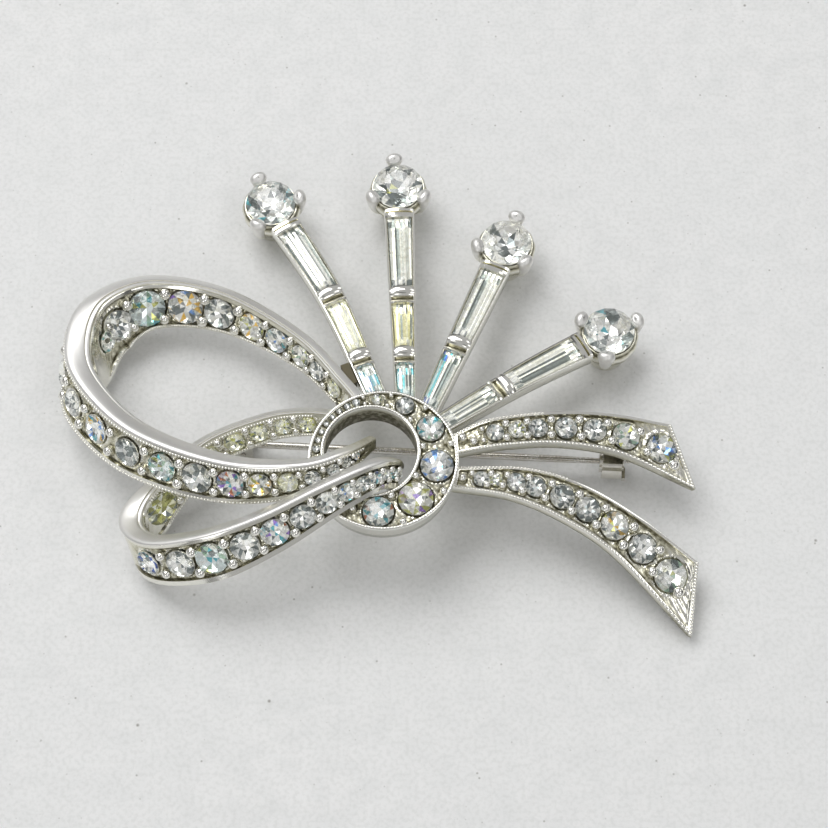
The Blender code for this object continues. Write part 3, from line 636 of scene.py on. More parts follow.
def set_stone(shape, stone, rng):
    """Cut the gem for one place in a ribbon's row."""
    axes = axes_of(stone["normal"], stone["along"])
    if stone["mood"] is OLD_OLIVE:
        axes = axes * np.array((LONG_STONE, 1.0, 1.0))[:, None]
    gem(shape, stone["centre"] + STONE_LIFT * stone["normal"], axes, stone["radius"], rng, stone["mood"],
        depth=stone["depth"] / stone["radius"], spin=rng.uniform(0, SPIN))


# ---------------- ribbons


def lumps(points):
    """Uneven casting skin, between -1 and 1, with humps about half a millimetre wide."""
    x, y, z = points[..., 0], points[..., 1], points[..., 2]
    coarse = np.sin(6.1 * x + 2.3 * y - 1.7 * z) * np.sin(5.3 * y - 4.1 * z + 1.9 * x)
    fine = np.sin(11.7 * x - 7.9 * y + 3.1) * np.sin(9.7 * y + 12.3 * z)
    return 0.6 * coarse + 0.4 * fine


def pocket_field(points, stones, beads, plate):
    """Lift, and tarnish with painted shade, of a face's points.

    The channel is sunk by plate, with deeper pockets and raised lips for the stones, and moats
    round the beads; the gap round each stone and each moat are darkened as painted shade."""
    away = np.full(points.shape[:-1], 9.0)
    deep = np.zeros(points.shape[:-1])
    for stone in stones:
        gap = np.linalg.norm(points - stone["centre"], axis=-1) - stone["radius"] - POCKET_GAP
        deep = np.where(gap < away, stone["depth"], deep)
        away = np.minimum(away, gap)
    sunk = plate > 0.5 * PLATE
    pocket = np.clip((0.03 - away) / 0.10, 0.0, 1.0)
    lip = LIP * np.exp(-((away - 0.17) / 0.11) ** 2) * sunk
    rough = lumps(points)
    lift = -plate * (1 - pocket) - (deep + 0.05) * pocket + lip * (1 - pocket)
    lift += 0.06 * rough * (1 - pocket) * sunk
    tarnish_and_shade = np.clip(0.66 - 0.34 * rough + 0.25 * pocket - 4.0 * lip, 0.0, 1.0)
    for centre, size in beads:
        gap = np.linalg.norm(points - centre, axis=-1) - size
        moat = np.exp(-((gap - 0.05) / 0.1) ** 2) * sunk
        lift = np.where(gap < 0.3, np.minimum(lift, -plate * moat - 0.1 * moat), lift)
        tarnish_and_shade = np.maximum(tarnish_and_shade, 0.95 * moat)
    return lift, tarnish_and_shade


def wall_shade(k):
    """Painted shade of a channel's line of points: dark along the foot of its two walls."""
    return 0.95 if min(k, CHANNEL_STEPS - 1 - k) < 2 else 0.0


class Ribbon(Path):
    """A ribbon hung from its polished top edge, leaning down the fall line."""

    def __init__(self, controls, outer_flare, back_darkening_scale):
        super().__init__(controls)
        self.outer_flare = outer_flare
        # A scale below one paints the back face lighter by cutting its tarnish and painted shade.
        self.darkening_scale = {1: back_darkening_scale, -1: 1.0}

    def frames(self, s):
        """Top point, down, inward, thickness, height and flare at distances s."""
        s = np.asarray(s, float)
        row = self.at(s)
        along = unit(self.step(s)[..., :3])
        down = unit(FALL - (along @ FALL)[..., None] * along)
        return row[..., :3], down, np.cross(along, down), row[..., 3], row[..., 4], row[..., 5]

    def on_face(self, s, side, v, lift=0.0):
        """Points on the inner (+1) or outer (-1) face, v down from the top edge."""
        top, down, inward, thick, high, flare = self.frames(s)
        spread = flare * (1.0 if side > 0 else self.outer_flare) * v / high
        out = side * (0.5 * thick + spread + lift)
        return top + down * np.asarray(v)[..., None] + inward * out[..., None]

    def strip(self, s, side):
        """Middle and width of the channel in a face, and the ribbon's thickness there."""
        _, _, _, thick, high, _ = self.frames(s)
        upper = SHOULDER * thick + RIM
        lower = high - FOOT_RIM[side]
        return 0.5 * (upper + lower), lower - upper, thick

    def normal(self, s, side):
        """The way that a face looks at distance s, and the way along it."""
        step = 0.15
        mid = 0.5 * float(self.frames(s)[4])
        across = self.on_face(s, side, mid + step) - self.on_face(s, side, mid - step)
        back = max(s - step, 0.0)
        ahead = min(s + step, self.length)
        along = self.on_face(ahead, side, mid) - self.on_face(back, side, mid)
        facing = unit(np.cross(across, along))
        inward = self.frames(s)[2] * side
        return (facing if np.dot(facing, inward) > 0 else -facing), unit(along)

    def stones(self, side, row, moods):
        """Places of a row's stones along the middle of the face."""
        found = []
        for number, (fraction, size) in enumerate(row):
            at = fraction * self.length
            middle, room, thick = self.strip(at, side)
            radius = 0.5 * min(size, float(room) - 0.05)
            normal, along = self.normal(at, side)
            found.append({
                "s": at, "radius": radius, "normal": normal, "along": along,
                "centre": self.on_face(at, side, middle),
                "depth": min(STONE_DEPTH * radius, float(thick) - 0.3),
                "mood": moods[number % len(moods)]})
        return found

    def face_columns(self, s, side, row, stones, beads):
        """Lines of points along a face, from the top shoulder to the bottom edge, with their tarnish and
        painted shade.
        """
        _, _, _, thick, high, _ = self.frames(s)
        crown = SHOULDER * thick
        upper = crown + RIM
        lower = high - FOOT_RIM[side]
        f = s / self.length
        room = 1.1 / self.length
        fade = (2.6 if side > 0 else 1.1) / self.length
        start = row[0][0] - 0.5 * row[0][1] / self.length
        end = row[-1][0] + 0.5 * row[-1][1] / self.length
        ramp = np.clip(np.minimum((f - start + room) / room, (end - f + fade) / fade), 0.0, 1.0)
        rim = ((crown + 0.06, 0.05), (crown + 0.5 * RIM, 0.2), (upper - 0.05, 0.3))
        columns = [(self.on_face(s, side, v), level) for v, level in rim]
        for k in range(CHANNEL_STEPS):
            v = upper + (lower - upper) * k / (CHANNEL_STEPS - 1)
            height, stain_and_shade = pocket_field(self.on_face(s, side, v), stones, beads, PLATE * ramp)
            height = np.where(ramp > 0.01, height, 0.0)
            shade = self.darkening_scale[side] * np.maximum(stain_and_shade, wall_shade(k))
            columns.append((self.on_face(s, side, v, height), 0.12 + (shade - 0.12) * ramp))
        columns += [(self.on_face(s, side, v), 0.1) for v in (lower + 0.06, high - 0.16, high - 0.05)]
        return columns + [(self.on_face(s, side, high, -0.05), 0.1)]

    def casting(self, shape, rows, stones, beads, stations):
        """The whole ribbon: the band along its top and its two faces."""
        s = np.linspace(0.0, self.length, stations)
        top, down, inward, thick, _, _ = self.frames(s)
        band = [(top + inward * (share * thick)[:, None] + down * (drop * thick)[:, None], level)
                for share, drop, level in BAND]
        inner, outer = [self.face_columns(s, side, rows[side], stones[side], beads[side])
                        for side in (1, -1)]
        # The last stretch of each loop, towards its end in the ring's hole, is made darker.
        tip_darkening = 0.6 * np.clip((s / self.length - 0.93) / 0.05, 0.0, 1.0)[:, None]
        shape.skin(band + inner + outer[::-1], tip_darkening, satin=len(BAND) - 1)

    def grains(self, side, found, rng):
        """Centres and sizes of the pairs of round beads that hold neighbouring stones."""
        made = []
        for first, second in zip(found, found[1:]):
            share = (first["radius"] + 0.5) / (first["radius"] + second["radius"] + 1.0)
            at = first["s"] + (second["s"] - first["s"]) * share
            middle, room, _ = self.strip(at, side)
            small = min(first["radius"], second["radius"])
            size = 0.24 + 0.22 * small
            spread = min(0.66 * small + 0.16, 0.5 * float(room) - 0.4 * size)
            for way in (-1, 1):
                place = at + rng.uniform(-0.12, 0.12)
                grown = size * rng.uniform(0.9, 1.08)
                made.append((self.on_face(place, side, middle + way * spread, 0.25 * size - 0.1), grown))
        return made

    def milgrain(self, shape, side, row, edge):
        """A line of tiny beads along a rim; edge is the rim's place from the top or bottom."""
        pitch, size = LOOP_BEADS
        start, end = row[0][0] - 0.01, row[-1][0] + 0.01
        s = np.linspace(start, end, int((end - start) * self.length / pitch)) * self.length
        _, _, _, thick, high, _ = self.frames(s)
        v = SHOULDER * thick + edge if edge > 0 else high + edge
        shape.beads(self.on_face(s, side, v), size, CLEAN)


def ribbon_loop(name, controls, outer_flare, rows, moods, lines, stations, back_darkening_scale=1.0):
    """One loop: its casting, its beading, and the stones of its inner and outer faces."""
    ribbon = Ribbon(controls, outer_flare, back_darkening_scale)
    rng = random.Random(name)
    stones = {side: ribbon.stones(side, rows[side], moods[side]) for side in (1, -1)}
    held = {side: ribbon.grains(side, stones[side], rng) for side in (1, -1)}
    metal = Shape()
    ribbon.casting(metal, rows, stones, held, stations)
    metal.make(name + "_casting", [METAL, SATIN], [name])
    beads = Shape()
    beads.beads(*zip(*(held[1] + held[-1])))
    for side, edge in lines:
        ribbon.milgrain(beads, side, rows[side], edge)
    beads.make(name + "_beading", [METAL])
    for side, label in ((1, "back"), (-1, "front")):
        cut = Shape()
        for stone in stones[side]:
            set_stone(cut, stone, rng)
        cut.make(f"{name}_{label}_cut_stones", [GLASS, FOIL], [f"{name}_{label}_stones"],
                 flat=True)


# ---------------- tails


class Tail(Path):
    """A flat ribbon strip between two edges, with a stone channel in its face."""

    def __init__(self, edges):
        super().__init__([far + near for far, near in edges])

    def frames(self, s):
        """Points on the far and the near edge, and the way the face looks, at distances s."""
        row = self.at(s)
        step = self.step(s)
        far = row[..., :3]
        near = row[..., 3:]
        return far, near, unit(np.cross(near - far, step[..., :3] + step[..., 3:]))

    def point(self, s, share, inset, lift):
        """Points at a share of the width plus an inset in millimetres, lifted off the face."""
        far, near, up = self.frames(s)
        wide = np.linalg.norm(near - far, axis=-1, keepdims=True)
        across = (near - far) / wide
        return far + across * (wide * np.asarray(share)[..., None] + np.asarray(inset)[..., None]) \
            + up * np.asarray(lift)[..., None]

    def middle(self, s):
        return self.point(s, 0.5, 0.0, 0.0)

    def stones(self, places, moods):
        """Places of the stones along the middle of the face."""
        found = []
        for number, (s, size) in enumerate(places):
            far, near, up = self.frames(s)
            radius = 0.5 * min(size, np.linalg.norm(near - far) - 2 * RIM - 0.1)
            along = self.middle(min(s + 0.3, self.length)) - self.middle(max(s - 0.3, 0.0))
            found.append({"s": s, "radius": radius, "centre": self.middle(s), "normal": up, "along": along,
                          "depth": min(STONE_DEPTH * radius, 1.1), "mood": moods[number % len(moods)]})
        return found

    def casting(self, shape, stones, beads):
        """The whole strip; its channel gets shallow and clean towards the tip."""
        s = np.linspace(0.0, self.length, 260)
        ramp = np.clip(np.minimum(s - RIM, self.length - RIM - s) / 0.1, 0.0, 1.0)
        tip = np.clip((s - self.length + 4.0) / 2.0, 0.0, 1.0)
        # Inset, lift and darkness of each edge: the side wall is painted darker towards its foot as shade.
        edge = [(0.15, -TAIL_THICK, 0.9), (0.02, -TAIL_THICK + 0.25, 0.8), (0.0, -0.5 * TAIL_THICK, 0.45),
                (0.0, -0.12, 0.05), (0.04, -0.03, 0.0), (0.12, 0.0, 0.0), (RIM - 0.1, 0.0, 0.1)]
        columns = [(self.point(s, 0.0, inset, lift), level) for inset, lift, level in edge]
        for k in range(CHANNEL_STEPS):
            share = k / (CHANNEL_STEPS - 1)
            inset = RIM * (1 - 2 * share)
            base = self.point(s, share, inset, 0.0)
            height, stain_and_shade = pocket_field(base, stones, beads, PLATE * ramp * (1 - 0.45 * tip))
            height = np.where(ramp > 0.01, height, 0.0)
            shade = np.maximum(stain_and_shade - 0.45 * tip, wall_shade(k) * (1 - 0.5 * tip))
            columns.append((self.point(s, share, inset, height), np.where(ramp > 0.01, shade, 0.1)))
        for inset, lift, level in reversed(edge):
            # Near the tip the side wall is made darker still.
            side_wall = 0.8 * tip * (lift < -0.1)
            columns.append((self.point(s, 1.0, -inset, lift), np.maximum(level, side_wall)))
        shape.skin(columns)

    def grains(self, found):
        """Centres and sizes of the pairs of round beads that hold neighbouring stones."""
        made = []
        for first, second in zip(found, found[1:]):
            s = 0.5 * (first["s"] + first["radius"] + second["s"] - second["radius"])
            far, near, _ = self.frames(s)
            small = min(first["radius"], second["radius"])
            size = 0.24 + 0.22 * small
            spread = min(0.68 * small + 0.14, 0.5 * np.linalg.norm(near - far) - RIM - 0.4 * size)
            for way in (-1, 1):
                made.append((self.point(s, 0.5, way * spread, 0.25 * size - 0.1), size))
        return made

    def milgrain(self, shape, share, inset, end):
        """A line of tiny beads along an edge, from the knot to distance end."""
        pitch, size = TAIL_BEADS
        s = np.linspace(0.2, end, int((end - 0.2) / pitch))
        shape.beads(self.point(s, share, inset, 0.0), size, CLEAN)


def ribbon_tail(name, edges, places, moods, singles):
    """One tail: its casting, its beading, and its stones, which are pieces of their own."""
    strip = Tail(edges)
    found = strip.stones(places, moods)
    held = strip.grains(found)
    held += [(strip.point(s, share, 0.0, 0.02), size) for s, share, size in singles]
    metal = Shape()
    strip.casting(metal, found, held)
    metal.make(name + "_casting", [METAL], [name])
    beads = Shape()
    beads.beads(*zip(*held))
    strip.milgrain(beads, 0.0, 0.14, 0.42 * strip.length)
    strip.milgrain(beads, 1.0, -0.13, strip.length - 0.2)
    far, near, _ = strip.frames(strip.length)
    pitch, size = TAIL_BEADS
    share = np.linspace(0.03, 0.97, int(np.linalg.norm(near - far) / pitch))
    beads.beads(strip.point(strip.length - 0.14, share, 0.0, 0.0), size, CLEAN)
    beads.make(name + "_beading", [METAL])
    rng = random.Random(name)
    for number, stone in enumerate(found, 1):
        cut = Shape()
        set_stone(cut, stone, rng)
        cut.make(f"{name}_cut_stone_{number}", [GLASS, FOIL], [f"{name}_stone_{number}"],
                 flat=True)


# ---------------- knot ring


def ring_outer(angle):
    """Distance from the hole's centre to the ring's outer wall at each angle."""
    away = np.stack([np.cos(angle), np.sin(angle)], axis=-1)
    along = away @ RING_CENTRE
    return along + np.sqrt(RING_R**2 - RING_CENTRE @ RING_CENTRE + along**2)


def around(angle, radius, z):
    """Points at angles, distances and heights round the centre of the hole."""
    angle, radius, z = np.broadcast_arrays(angle, radius, z)
    return np.stack([radius * np.cos(angle), radius * np.sin(angle), z], axis=-1)


def ring_stones():
    """Places of the ring's stones: first the large ones, then the tiny ones of the narrow side."""
    moods = [FIRE, (SILVER, (OLIVE, OLIVE, VIOLET, CREAM)), COOL, SEA, NONE, MOSS]
    found = []
    for number, degrees in enumerate([place for place, _ in RING_STONES] + list(np.linspace(*RING_SMALL))):
        angle = math.radians(degrees)
        outer = float(ring_outer(angle))
        stone = {"angle": angle, "centre": around(angle, 0.5 * (HOLE_R + outer), RING_TOP)}
        if number < len(RING_STONES):
            stone["radius"] = 0.5 * min(RING_STONES[number][1], outer - HOLE_R - 2 * RING_RIM - 0.1)
            stone["depth"] = STONE_DEPTH * stone["radius"]
            stone["mood"] = moods[number]
        else:
            stone["radius"] = 0.5 * (outer - HOLE_R) - RING_RIM - 0.02
            stone["depth"] = 0.3
        found.append(stone)
    return found


def knot_ring():
    """The ring's casting, its beading and its stones."""
    found = ring_stones()
    large = found[:len(RING_STONES)]
    held = []
    for first, second in zip(large, large[1:]):
        size = 0.18 + 0.15 * min(first["radius"], second["radius"])
        share = (first["radius"] + 0.5) / (first["radius"] + second["radius"] + 1.0)
        turn = first["angle"] + (second["angle"] - first["angle"]) * share
        outside = float(ring_outer(turn))
        for radius in (HOLE_R + RING_RIM + 0.6 * size, outside - RING_RIM - 0.6 * size):
            held.append((around(turn, radius, RING_TOP - 0.05), size))
    for degrees, radius, size in RING_GRAINS:
        held.append((around(math.radians(degrees), radius, RING_TOP - 0.08), size))
    angle = circle(360)
    outer = ring_outer(angle)
    # Inset, height and darkness of the hole's edge: the hole's inner wall is painted dark as shade.
    inner_edge = [(0.1, RING_BOTTOM, 0.8), (0.0, RING_BOTTOM + 0.15, 1.0),
                  (0.0, 0.5 * (RING_TOP + RING_BOTTOM), 1.0), (0.0, RING_TOP - 0.9, 0.9),
                  (0.0, RING_TOP - 0.4, 0.3), (0.0, RING_TOP - 0.12, 0.0), (0.05, RING_TOP - 0.03, 0.0),
                  (0.14, RING_TOP, 0.0), (RING_RIM - 0.08, RING_TOP, 0.0),
                  (RING_RIM - 0.02, RING_TOP - 0.03, 0.2)]
    columns = [(around(angle, HOLE_R + inset, z), level) for inset, z, level in inner_edge]
    for k in range(CHANNEL_STEPS):
        share = k / (CHANNEL_STEPS - 1)
        radius = HOLE_R + RING_RIM + (outer - HOLE_R - 2 * RING_RIM) * share
        height, stain_and_shade = pocket_field(around(angle, radius, RING_TOP), found, held, PLATE + 0 * angle)
        level = np.clip(np.maximum(stain_and_shade, wall_shade(k)) + RING_AGE, 0.0, 1.0)
        columns.append((around(angle, radius, RING_TOP + height), level))
    # Inset, drop and darkness of the outer edge, which gets darker towards its foot.
    outer_edge = [(RING_RIM - 0.02, -0.03, 0.2), (RING_RIM - 0.08, 0.0, 0.0), (0.1, 0.0, 0.0),
                  (0.03, -0.03, 0.0), (0.0, -0.12, 0.0), (0.02, -0.5, 0.1), (0.5 * RING_DRAFT, -1.7, 0.2),
                  (RING_DRAFT, -3.2, 0.3), (RING_DRAFT + 0.1, RING_BOTTOM - RING_TOP, 0.5)]
    columns += [(around(angle, outer - inset, RING_TOP + drop), level) for inset, drop, level in outer_edge]
    metal = Shape()
    metal.skin(columns, closed=True)
    metal.make("knot_ring_casting", [METAL], ["knot_ring"])
    beads = Shape()
    beads.beads(around(circle(109), HOLE_R + 0.17, RING_TOP - 0.02), 0.11, CLEAN)
    beads.beads(around(circle(164), ring_outer(circle(164)) - 0.2, RING_TOP - 0.02), 0.11, CLEAN)
    beads.beads(*zip(*held))
    beads.make("knot_ring_beading", [METAL])
    rng = random.Random("ring")
    upright = axes_of(UP, (1, 0, 0))
    for number, stone in enumerate(large, 1):
        cut = Shape()
        gem(cut, stone["centre"] + STONE_LIFT * UP, upright, stone["radius"], rng, stone["mood"],
            spin=rng.uniform(0, SPIN))
        cut.make(f"ring_cut_stone_{number}", [GLASS, FOIL], [f"ring_stone_{number}"],
                 flat=True)
    cut = Shape()
    for stone in found[len(RING_STONES):]:
        gem(cut, stone["centre"] + STONE_LIFT * UP, upright, stone["radius"], rng)
    cut.make("ring_small_cut_stones", [GLASS, FOIL], ["ring_small_stones"], flat=True)


# ---------------- spray


class Stem(Path):
    """One ray of the spray, from the knot ring out to its round head."""

    def __init__(self, degrees, head, bow):
        out, _ = heading(math.radians(degrees))
        foot = np.array((*RING_CENTRE, STEM_FOOT_Z)) + out * (RING_R + STEM_GAP)
        head = np.array(head)
        aim = head - foot
        left = unit(np.array((-aim[1], aim[0], 0.0)))
        super().__init__([foot, 0.5 * (foot + head) + left * bow, head])
        self.length = self.travel[-1] - CUP_R - STEM_GAP

    def point(self, s, across, lift):
        """Points beside and above the stem's line at distances s."""
        s = np.asarray(s, float)
        along = unit(self.step(s))
        side = unit(np.cross(along, UP))
        up = np.cross(side, along)
        return self.at(s) + side * np.asarray(across)[..., None] + up * np.asarray(lift)[..., None]

    def width(self, s):
        return STEM_WIDTH[0] + (STEM_WIDTH[1] - STEM_WIDTH[0]) * np.asarray(s) / self.length

    def pockets(self, proportions):
        """Start and end of each baguette's bay."""
        tabs = TAB_LENGTH * (len(proportions) - 1) + sum(STEM_ENDS)
        scale = (self.length - tabs) / sum(proportions)
        place = STEM_ENDS[0]
        spans = []
        for share in proportions:
            spans.append((place, place + share * scale))
            place += share * scale + TAB_LENGTH
        return spans

    def channel(self, shape):
        """The U-shaped trough with thin rounded walls."""
        s = np.linspace(0.0, self.length, 60)
        half = 0.5 * self.width(s)
        # Inset, lift and darkness of the wall: painted shade inside the trough and towards the foot outside.
        wall = [(0.12, -STEM_DEPTH, 0.4), (0.0, -STEM_DEPTH + 0.2, 0.3), (0.0, -0.1, 0.05),
                (0.05, -0.02, 0.0), (0.15, 0.02, 0.0), (0.2, 0.0, 0.2), (STEM_WALL, -0.1, 1.0),
                (STEM_WALL + 0.03, -STEM_FLOOR, 1.0)]
        outline = [(-1, *wall[0])] + [(1, *place) for place in wall] + [(-1, *place) for place in wall[:0:-1]]
        shape.skin([(self.point(s, side * (half - inset), lift), level)
                    for side, inset, lift, level in outline])

    def humps(self, shape, start, end, profile):
        """A curved block across the channel; profile is share along, lift, bow and darkness of its top, and
        its underside is painted dark as shade.
        """
        across = np.linspace(-1.0, 1.0, 13)
        rings = []
        levels = []
        for share, lift, bow, level in profile:
            middle = start + (end - start) * share
            half = 0.5 * float(self.width(middle)) - 0.1
            s = middle + bow * (1 - across**2)
            top = lift - 0.12 * across**4 - 0.1 * across**2
            upper = self.point(s, across * half, top)
            lower = self.point(s[::-1], across[::-1] * half, -STEM_FLOOR)
            rings.append(np.vstack([upper, lower]))
            # The underside is painted fully dark as shade.
            levels.append(np.repeat((level, 1.0), len(across)))
        shape.sweep(np.stack(rings), np.stack(levels))

    def baguette(self, shape, start, end, rng, mood):
        """A step-cut bar of glass over a foiled keel."""
        slope = 1.1
        ends = [(0.0, 0.0, 0.1, 0.3), (0.3 * slope, 0.14, 0.4, 0.6), (slope, 0.26, 1.0, 1.0)]
        stations = [(start + place, *rest) for place, *rest in ends]
        stations += [(end - place, *rest) for place, *rest in reversed(ends)]
        keel = [(1.0, -0.22), (0.8, -0.33), (0.66, -0.29), (0.46, -0.37), (0.3, -0.32), (0.1, -0.38),
                (-0.06, -0.33), (-0.28, -0.37), (-0.44, -0.3), (-0.62, -0.36), (-0.8, -0.3), (-1.0, -0.22)]
        rings = []
        for s, crown, pinch, sink in stations:
            half = 0.5 * float(self.width(s)) - STEM_WALL - 0.04
            outline = [(-half, -0.04), (-0.86 * half, 0.6 * crown), (-0.6 * half * pinch, crown),
                       (0.6 * half * pinch, crown), (0.86 * half, 0.6 * crown), (half, -0.04)]
            outline += [(share * half, -0.22 + (depth + 0.22) * sink) for share, depth in keel]
            rings.append([self.point(s, a, b) for a, b in outline])
        n = len(rings)
        m = len(outline)
        glass = len(outline) - len(keel) - 1
        # The keel's facets take the mood's colour with painted dark and grey reflections and painted glints,
        # which read as streaks.
        slots = []
        tints = []
        for _ in range(n - 1):
            for j in range(m):
                slots.append(1 if j >= glass else 0)
                drawn = facet_colour(rng, mood)
                tints.append(drawn if glass < j < m - 1 else mood[0])
        shape.add(rings, skin_faces(n, m), slots + [0, 0], tints + [SILVER, SILVER])


# Profiles along a tab and along the bar under a head: share of the length, lift, bow and darkness, which is
# painted shade where they dip beside the baguettes and in their grooves.
TAB = [(0.0, -0.5, 0.0, 0.9), (0.03, 0.30, -0.1, 0.0), (0.10, 0.44, -0.2, 0.0), (0.17, 0.38, -0.18, 0.5),
       (0.36, -0.1, -0.05, 0.9), (0.42, -0.25, 0.0, 0.9), (0.47, 0.05, 0.0, 0.1), (0.60, 0.34, 0.05, 0.0),
       (0.80, 0.44, 0.2, 0.0), (0.94, 0.34, 0.2, 0.1), (1.0, -0.5, 0.1, 0.9)]
BAR = [(0.0, -0.5, 0.0, 0.8), (0.05, 0.28, 0.0, 0.1), (0.2, 0.42, 0.0, 0.0), (0.45, 0.42, 0.0, 0.0),
       (0.56, 0.0, 0.0, 0.8), (0.64, 0.0, 0.0, 0.8), (0.70, 0.34, 0.0, 0.0), (0.95, 0.36, 0.0, 0.0),
       (1.0, -0.3, 0.0, 0.5)]


def prong_cup(shape, head, turns):
    """A cone-shaped setting with a seat for the stone and three knobbed prongs."""
    head = np.array(head)
    low = -head[2]
    # Radius, height and darkness of each ring of the cup: tarnish, and painted shade inside the seat under
    # the stone.
    profile = [(1.3, low, 0.6), (CUP_FOOT_R - 0.15, low, 0.4), (CUP_FOOT_R, low + 0.12, 0.3),
               (2.3, 0.72 * low, 0.4), (2.7, -2.7, 0.6), (2.98, -1.9, 0.9), (3.08, -1.5, 0.6),
               (3.1, -1.15, 0.1), (3.0, -0.85, 0.5), (2.88, -0.66, 1.0), (2.82, -0.4, 0.8),
               (2.76, -0.26, 0.3), (HEAD_R + 0.02, -0.26, 0.8), (HEAD_R - 0.1, -0.45, 0.9),
               (1.9, -1.6, 1.0), (1.5, low + 2.0, 1.0)]
    turn = circle(72)
    columns = []
    for r, z, level in profile:
        flute = 1.0 + (0.012 * np.cos(12 * turn) if -4.0 < z < -0.8 and r > 2.1 else 0.0)
        columns.append((around(turn, r * flute, z) + head, level))
    shape.skin(columns, closed=True)
    rows = Path([(2.3, -3.4, 0.30), (2.9, -2.2, 0.45), (3.15, -1.0, 0.56), (3.2, -0.3, 0.62),
                 (3.18, 0.1, 0.74), (3.12, 0.4, 0.78), (3.04, 0.68, 0.68), (2.98, 0.88, 0.45),
                 (2.94, 0.96, 0.08)], samples=5).rows
    # The prongs are darker towards their feet: painted shade.
    level = np.clip(0.5 - (rows[:, 1] + 3.4) * 0.2, 0.0, 0.5)
    ring = circle(16)
    for degrees in turns:
        out, side = heading(math.radians(degrees))
        rings = []
        for i, (r, z, size) in enumerate(rows):
            ahead = rows[min(i + 1, len(rows) - 1)]
            behind = rows[max(i - 1, 0)]
            along = unit(out * (ahead[0] - behind[0]) + UP * (ahead[1] - behind[1]))
            across = np.cross(along, side)
            rings.append(hoop(head + out * r + UP * z, side * size * 1.2, across * size * 0.9, ring))
        shape.sweep(np.stack(rings), level[:, None], satin=len(ring))


def spray():
    """The four stems with their baguettes, settings and round heads."""
    pale = (CREAM, (SILVER,))
    golden = (YELLOW, (CREAM,))
    blue = (SEA_WHITE, (TEAL, BLUE, TEAL))
    moods = [(blue, pale, NONE), (blue, golden, NONE), (STREAKS, NONE), (STEELY, NONE)]
    heads = [(SILVER, (TEAL, GREY, DARK)), (SILVER, (DARK, OLIVE, GREY)), STEELY,
             (SILVER, (DARK, GREY, TEAL, DARK))]
    rng = random.Random("spray")
    for number, (degrees, head, bow, proportions) in enumerate(STEMS, 1):
        stem = Stem(degrees, head, bow)
        spans = stem.pockets(proportions)
        bar_start = stem.length - BAR_LENGTH
        metal = Shape()
        stem.channel(metal)
        for (_, end), (start, _) in zip(spans, spans[1:]):
            stem.humps(metal, end - TAB_REACH, start + TAB_REACH, TAB)
        stem.humps(metal, bar_start, stem.length, BAR)
        metal.make(f"stem_{number}_trough", [METAL], [f"stem_{number}_channel"])
        for order, (start, end) in enumerate(spans, 1):
            first = start + (TAB_REACH if order > 1 else 0.0) + 0.03
            last = end - TAB_REACH - 0.03 if order < len(spans) else bar_start - 0.03
            bar = Shape()
            stem.baguette(bar, first, last, rng, moods[number - 1][order - 1])
            bar.make(f"stem_{number}_cut_baguette_{order}", [YELLOWED, BAR_FOIL],
                     [f"stem_{number}_baguette_{order}"], flat=True)
        cup = Shape()
        prong_cup(cup, head, PRONG_TURNS[number - 1])
        cup.make(f"head_{number}_setting", [METAL, SATIN], [f"head_{number}_cup"])
        stone = Shape()
        gem(stone, np.array(head) + 0.04 * UP, axes_of(UP, (1, 0, 0)), HEAD_R, rng, heads[number - 1],
            crown=0.36, depth=0.58, spin=rng.uniform(0, SPIN))
        stone.make(f"head_{number}_cut_stone", [HEAD_GLASS, HEAD_FOIL],
                   [f"head_{number}_stone"], flat=True)


# ---------------- pin and fittings


def pin():
    """The sharpened wire with its flat eye."""
    aim = CATCH_AT - HINGE_AT
    tip = aim.length + PIN_OVERHANG
    along, side = heading(math.atan2(aim.y, aim.x))
    origin = np.array(HINGE_AT)
    wire = [(EYE_R - 0.3, PIN_R), (5.0, PIN_R), (tip * 0.72, PIN_R), (tip - 4.0, 0.3), (tip - 1.2, 0.17),
            (tip, 0.03)]
    rows = Path([(x, 0.0, r) for x, r in wire], samples=6).rows
    shape = Shape()
    shape.sweep(np.stack([hoop(origin + along * x, side * r, UP * r, circle(24)) for x, _, r in rows]))
    inner = 0.47
    eye = [(inner, -EYE_HALF), (EYE_R - 0.08, -EYE_HALF), (EYE_R, -EYE_HALF + 0.1),
           (EYE_R, EYE_HALF - 0.1), (EYE_R - 0.08, EYE_HALF), (inner, EYE_HALF)]
    shape.skin([(hoop(origin + side * y, along * r, UP * r, circle(48)), 0.0) for r, y in eye], closed=True)
    shape.make("pin_wire", [STEEL], ["pin_stem"], body="pin")


def carried_over(name, look):
    """A CAD node that is shown as it is, with softened edges and a better material."""
    node = frame["nodes"][name]
    node.data.materials.clear()
    node.data.materials.append(look)
    bevel = node.modifiers.new("softened", "BEVEL")
    bevel.width = 0.05 * MM
    bevel.segments = 2
    bevel.limit_method = "ANGLE"
    bevel.angle_limit = math.radians(40)


# ---------------- build


UPPER_MOODS = {
    1: (CREAMY, NONE, MOSS, COOL, AMBER_GLINTS, NONE, DUSK, DEEP_SEA, STEELY, SEA),
    -1: (NONE, NONE, STEELY, SUNSET, STEELY, DEEP_SEA, STEELY, EMBER, AMBER_GLINTS, CREAMY),
}
LOWER_MOODS = {
    1: (CREAMY,) * 6 + (OLD_OLIVE,),
    -1: (MIDNIGHT, STEELY, DEEP_SEA, STEELY, EMBER, NONE, STEELY, COOL, NONE),
}
ribbon_loop("upper_loop", UPPER_LOOP, 0.2, UPPER_STONES, UPPER_MOODS,
            [(1, -0.2), (-1, 0.32), (-1, -0.12)], 640)
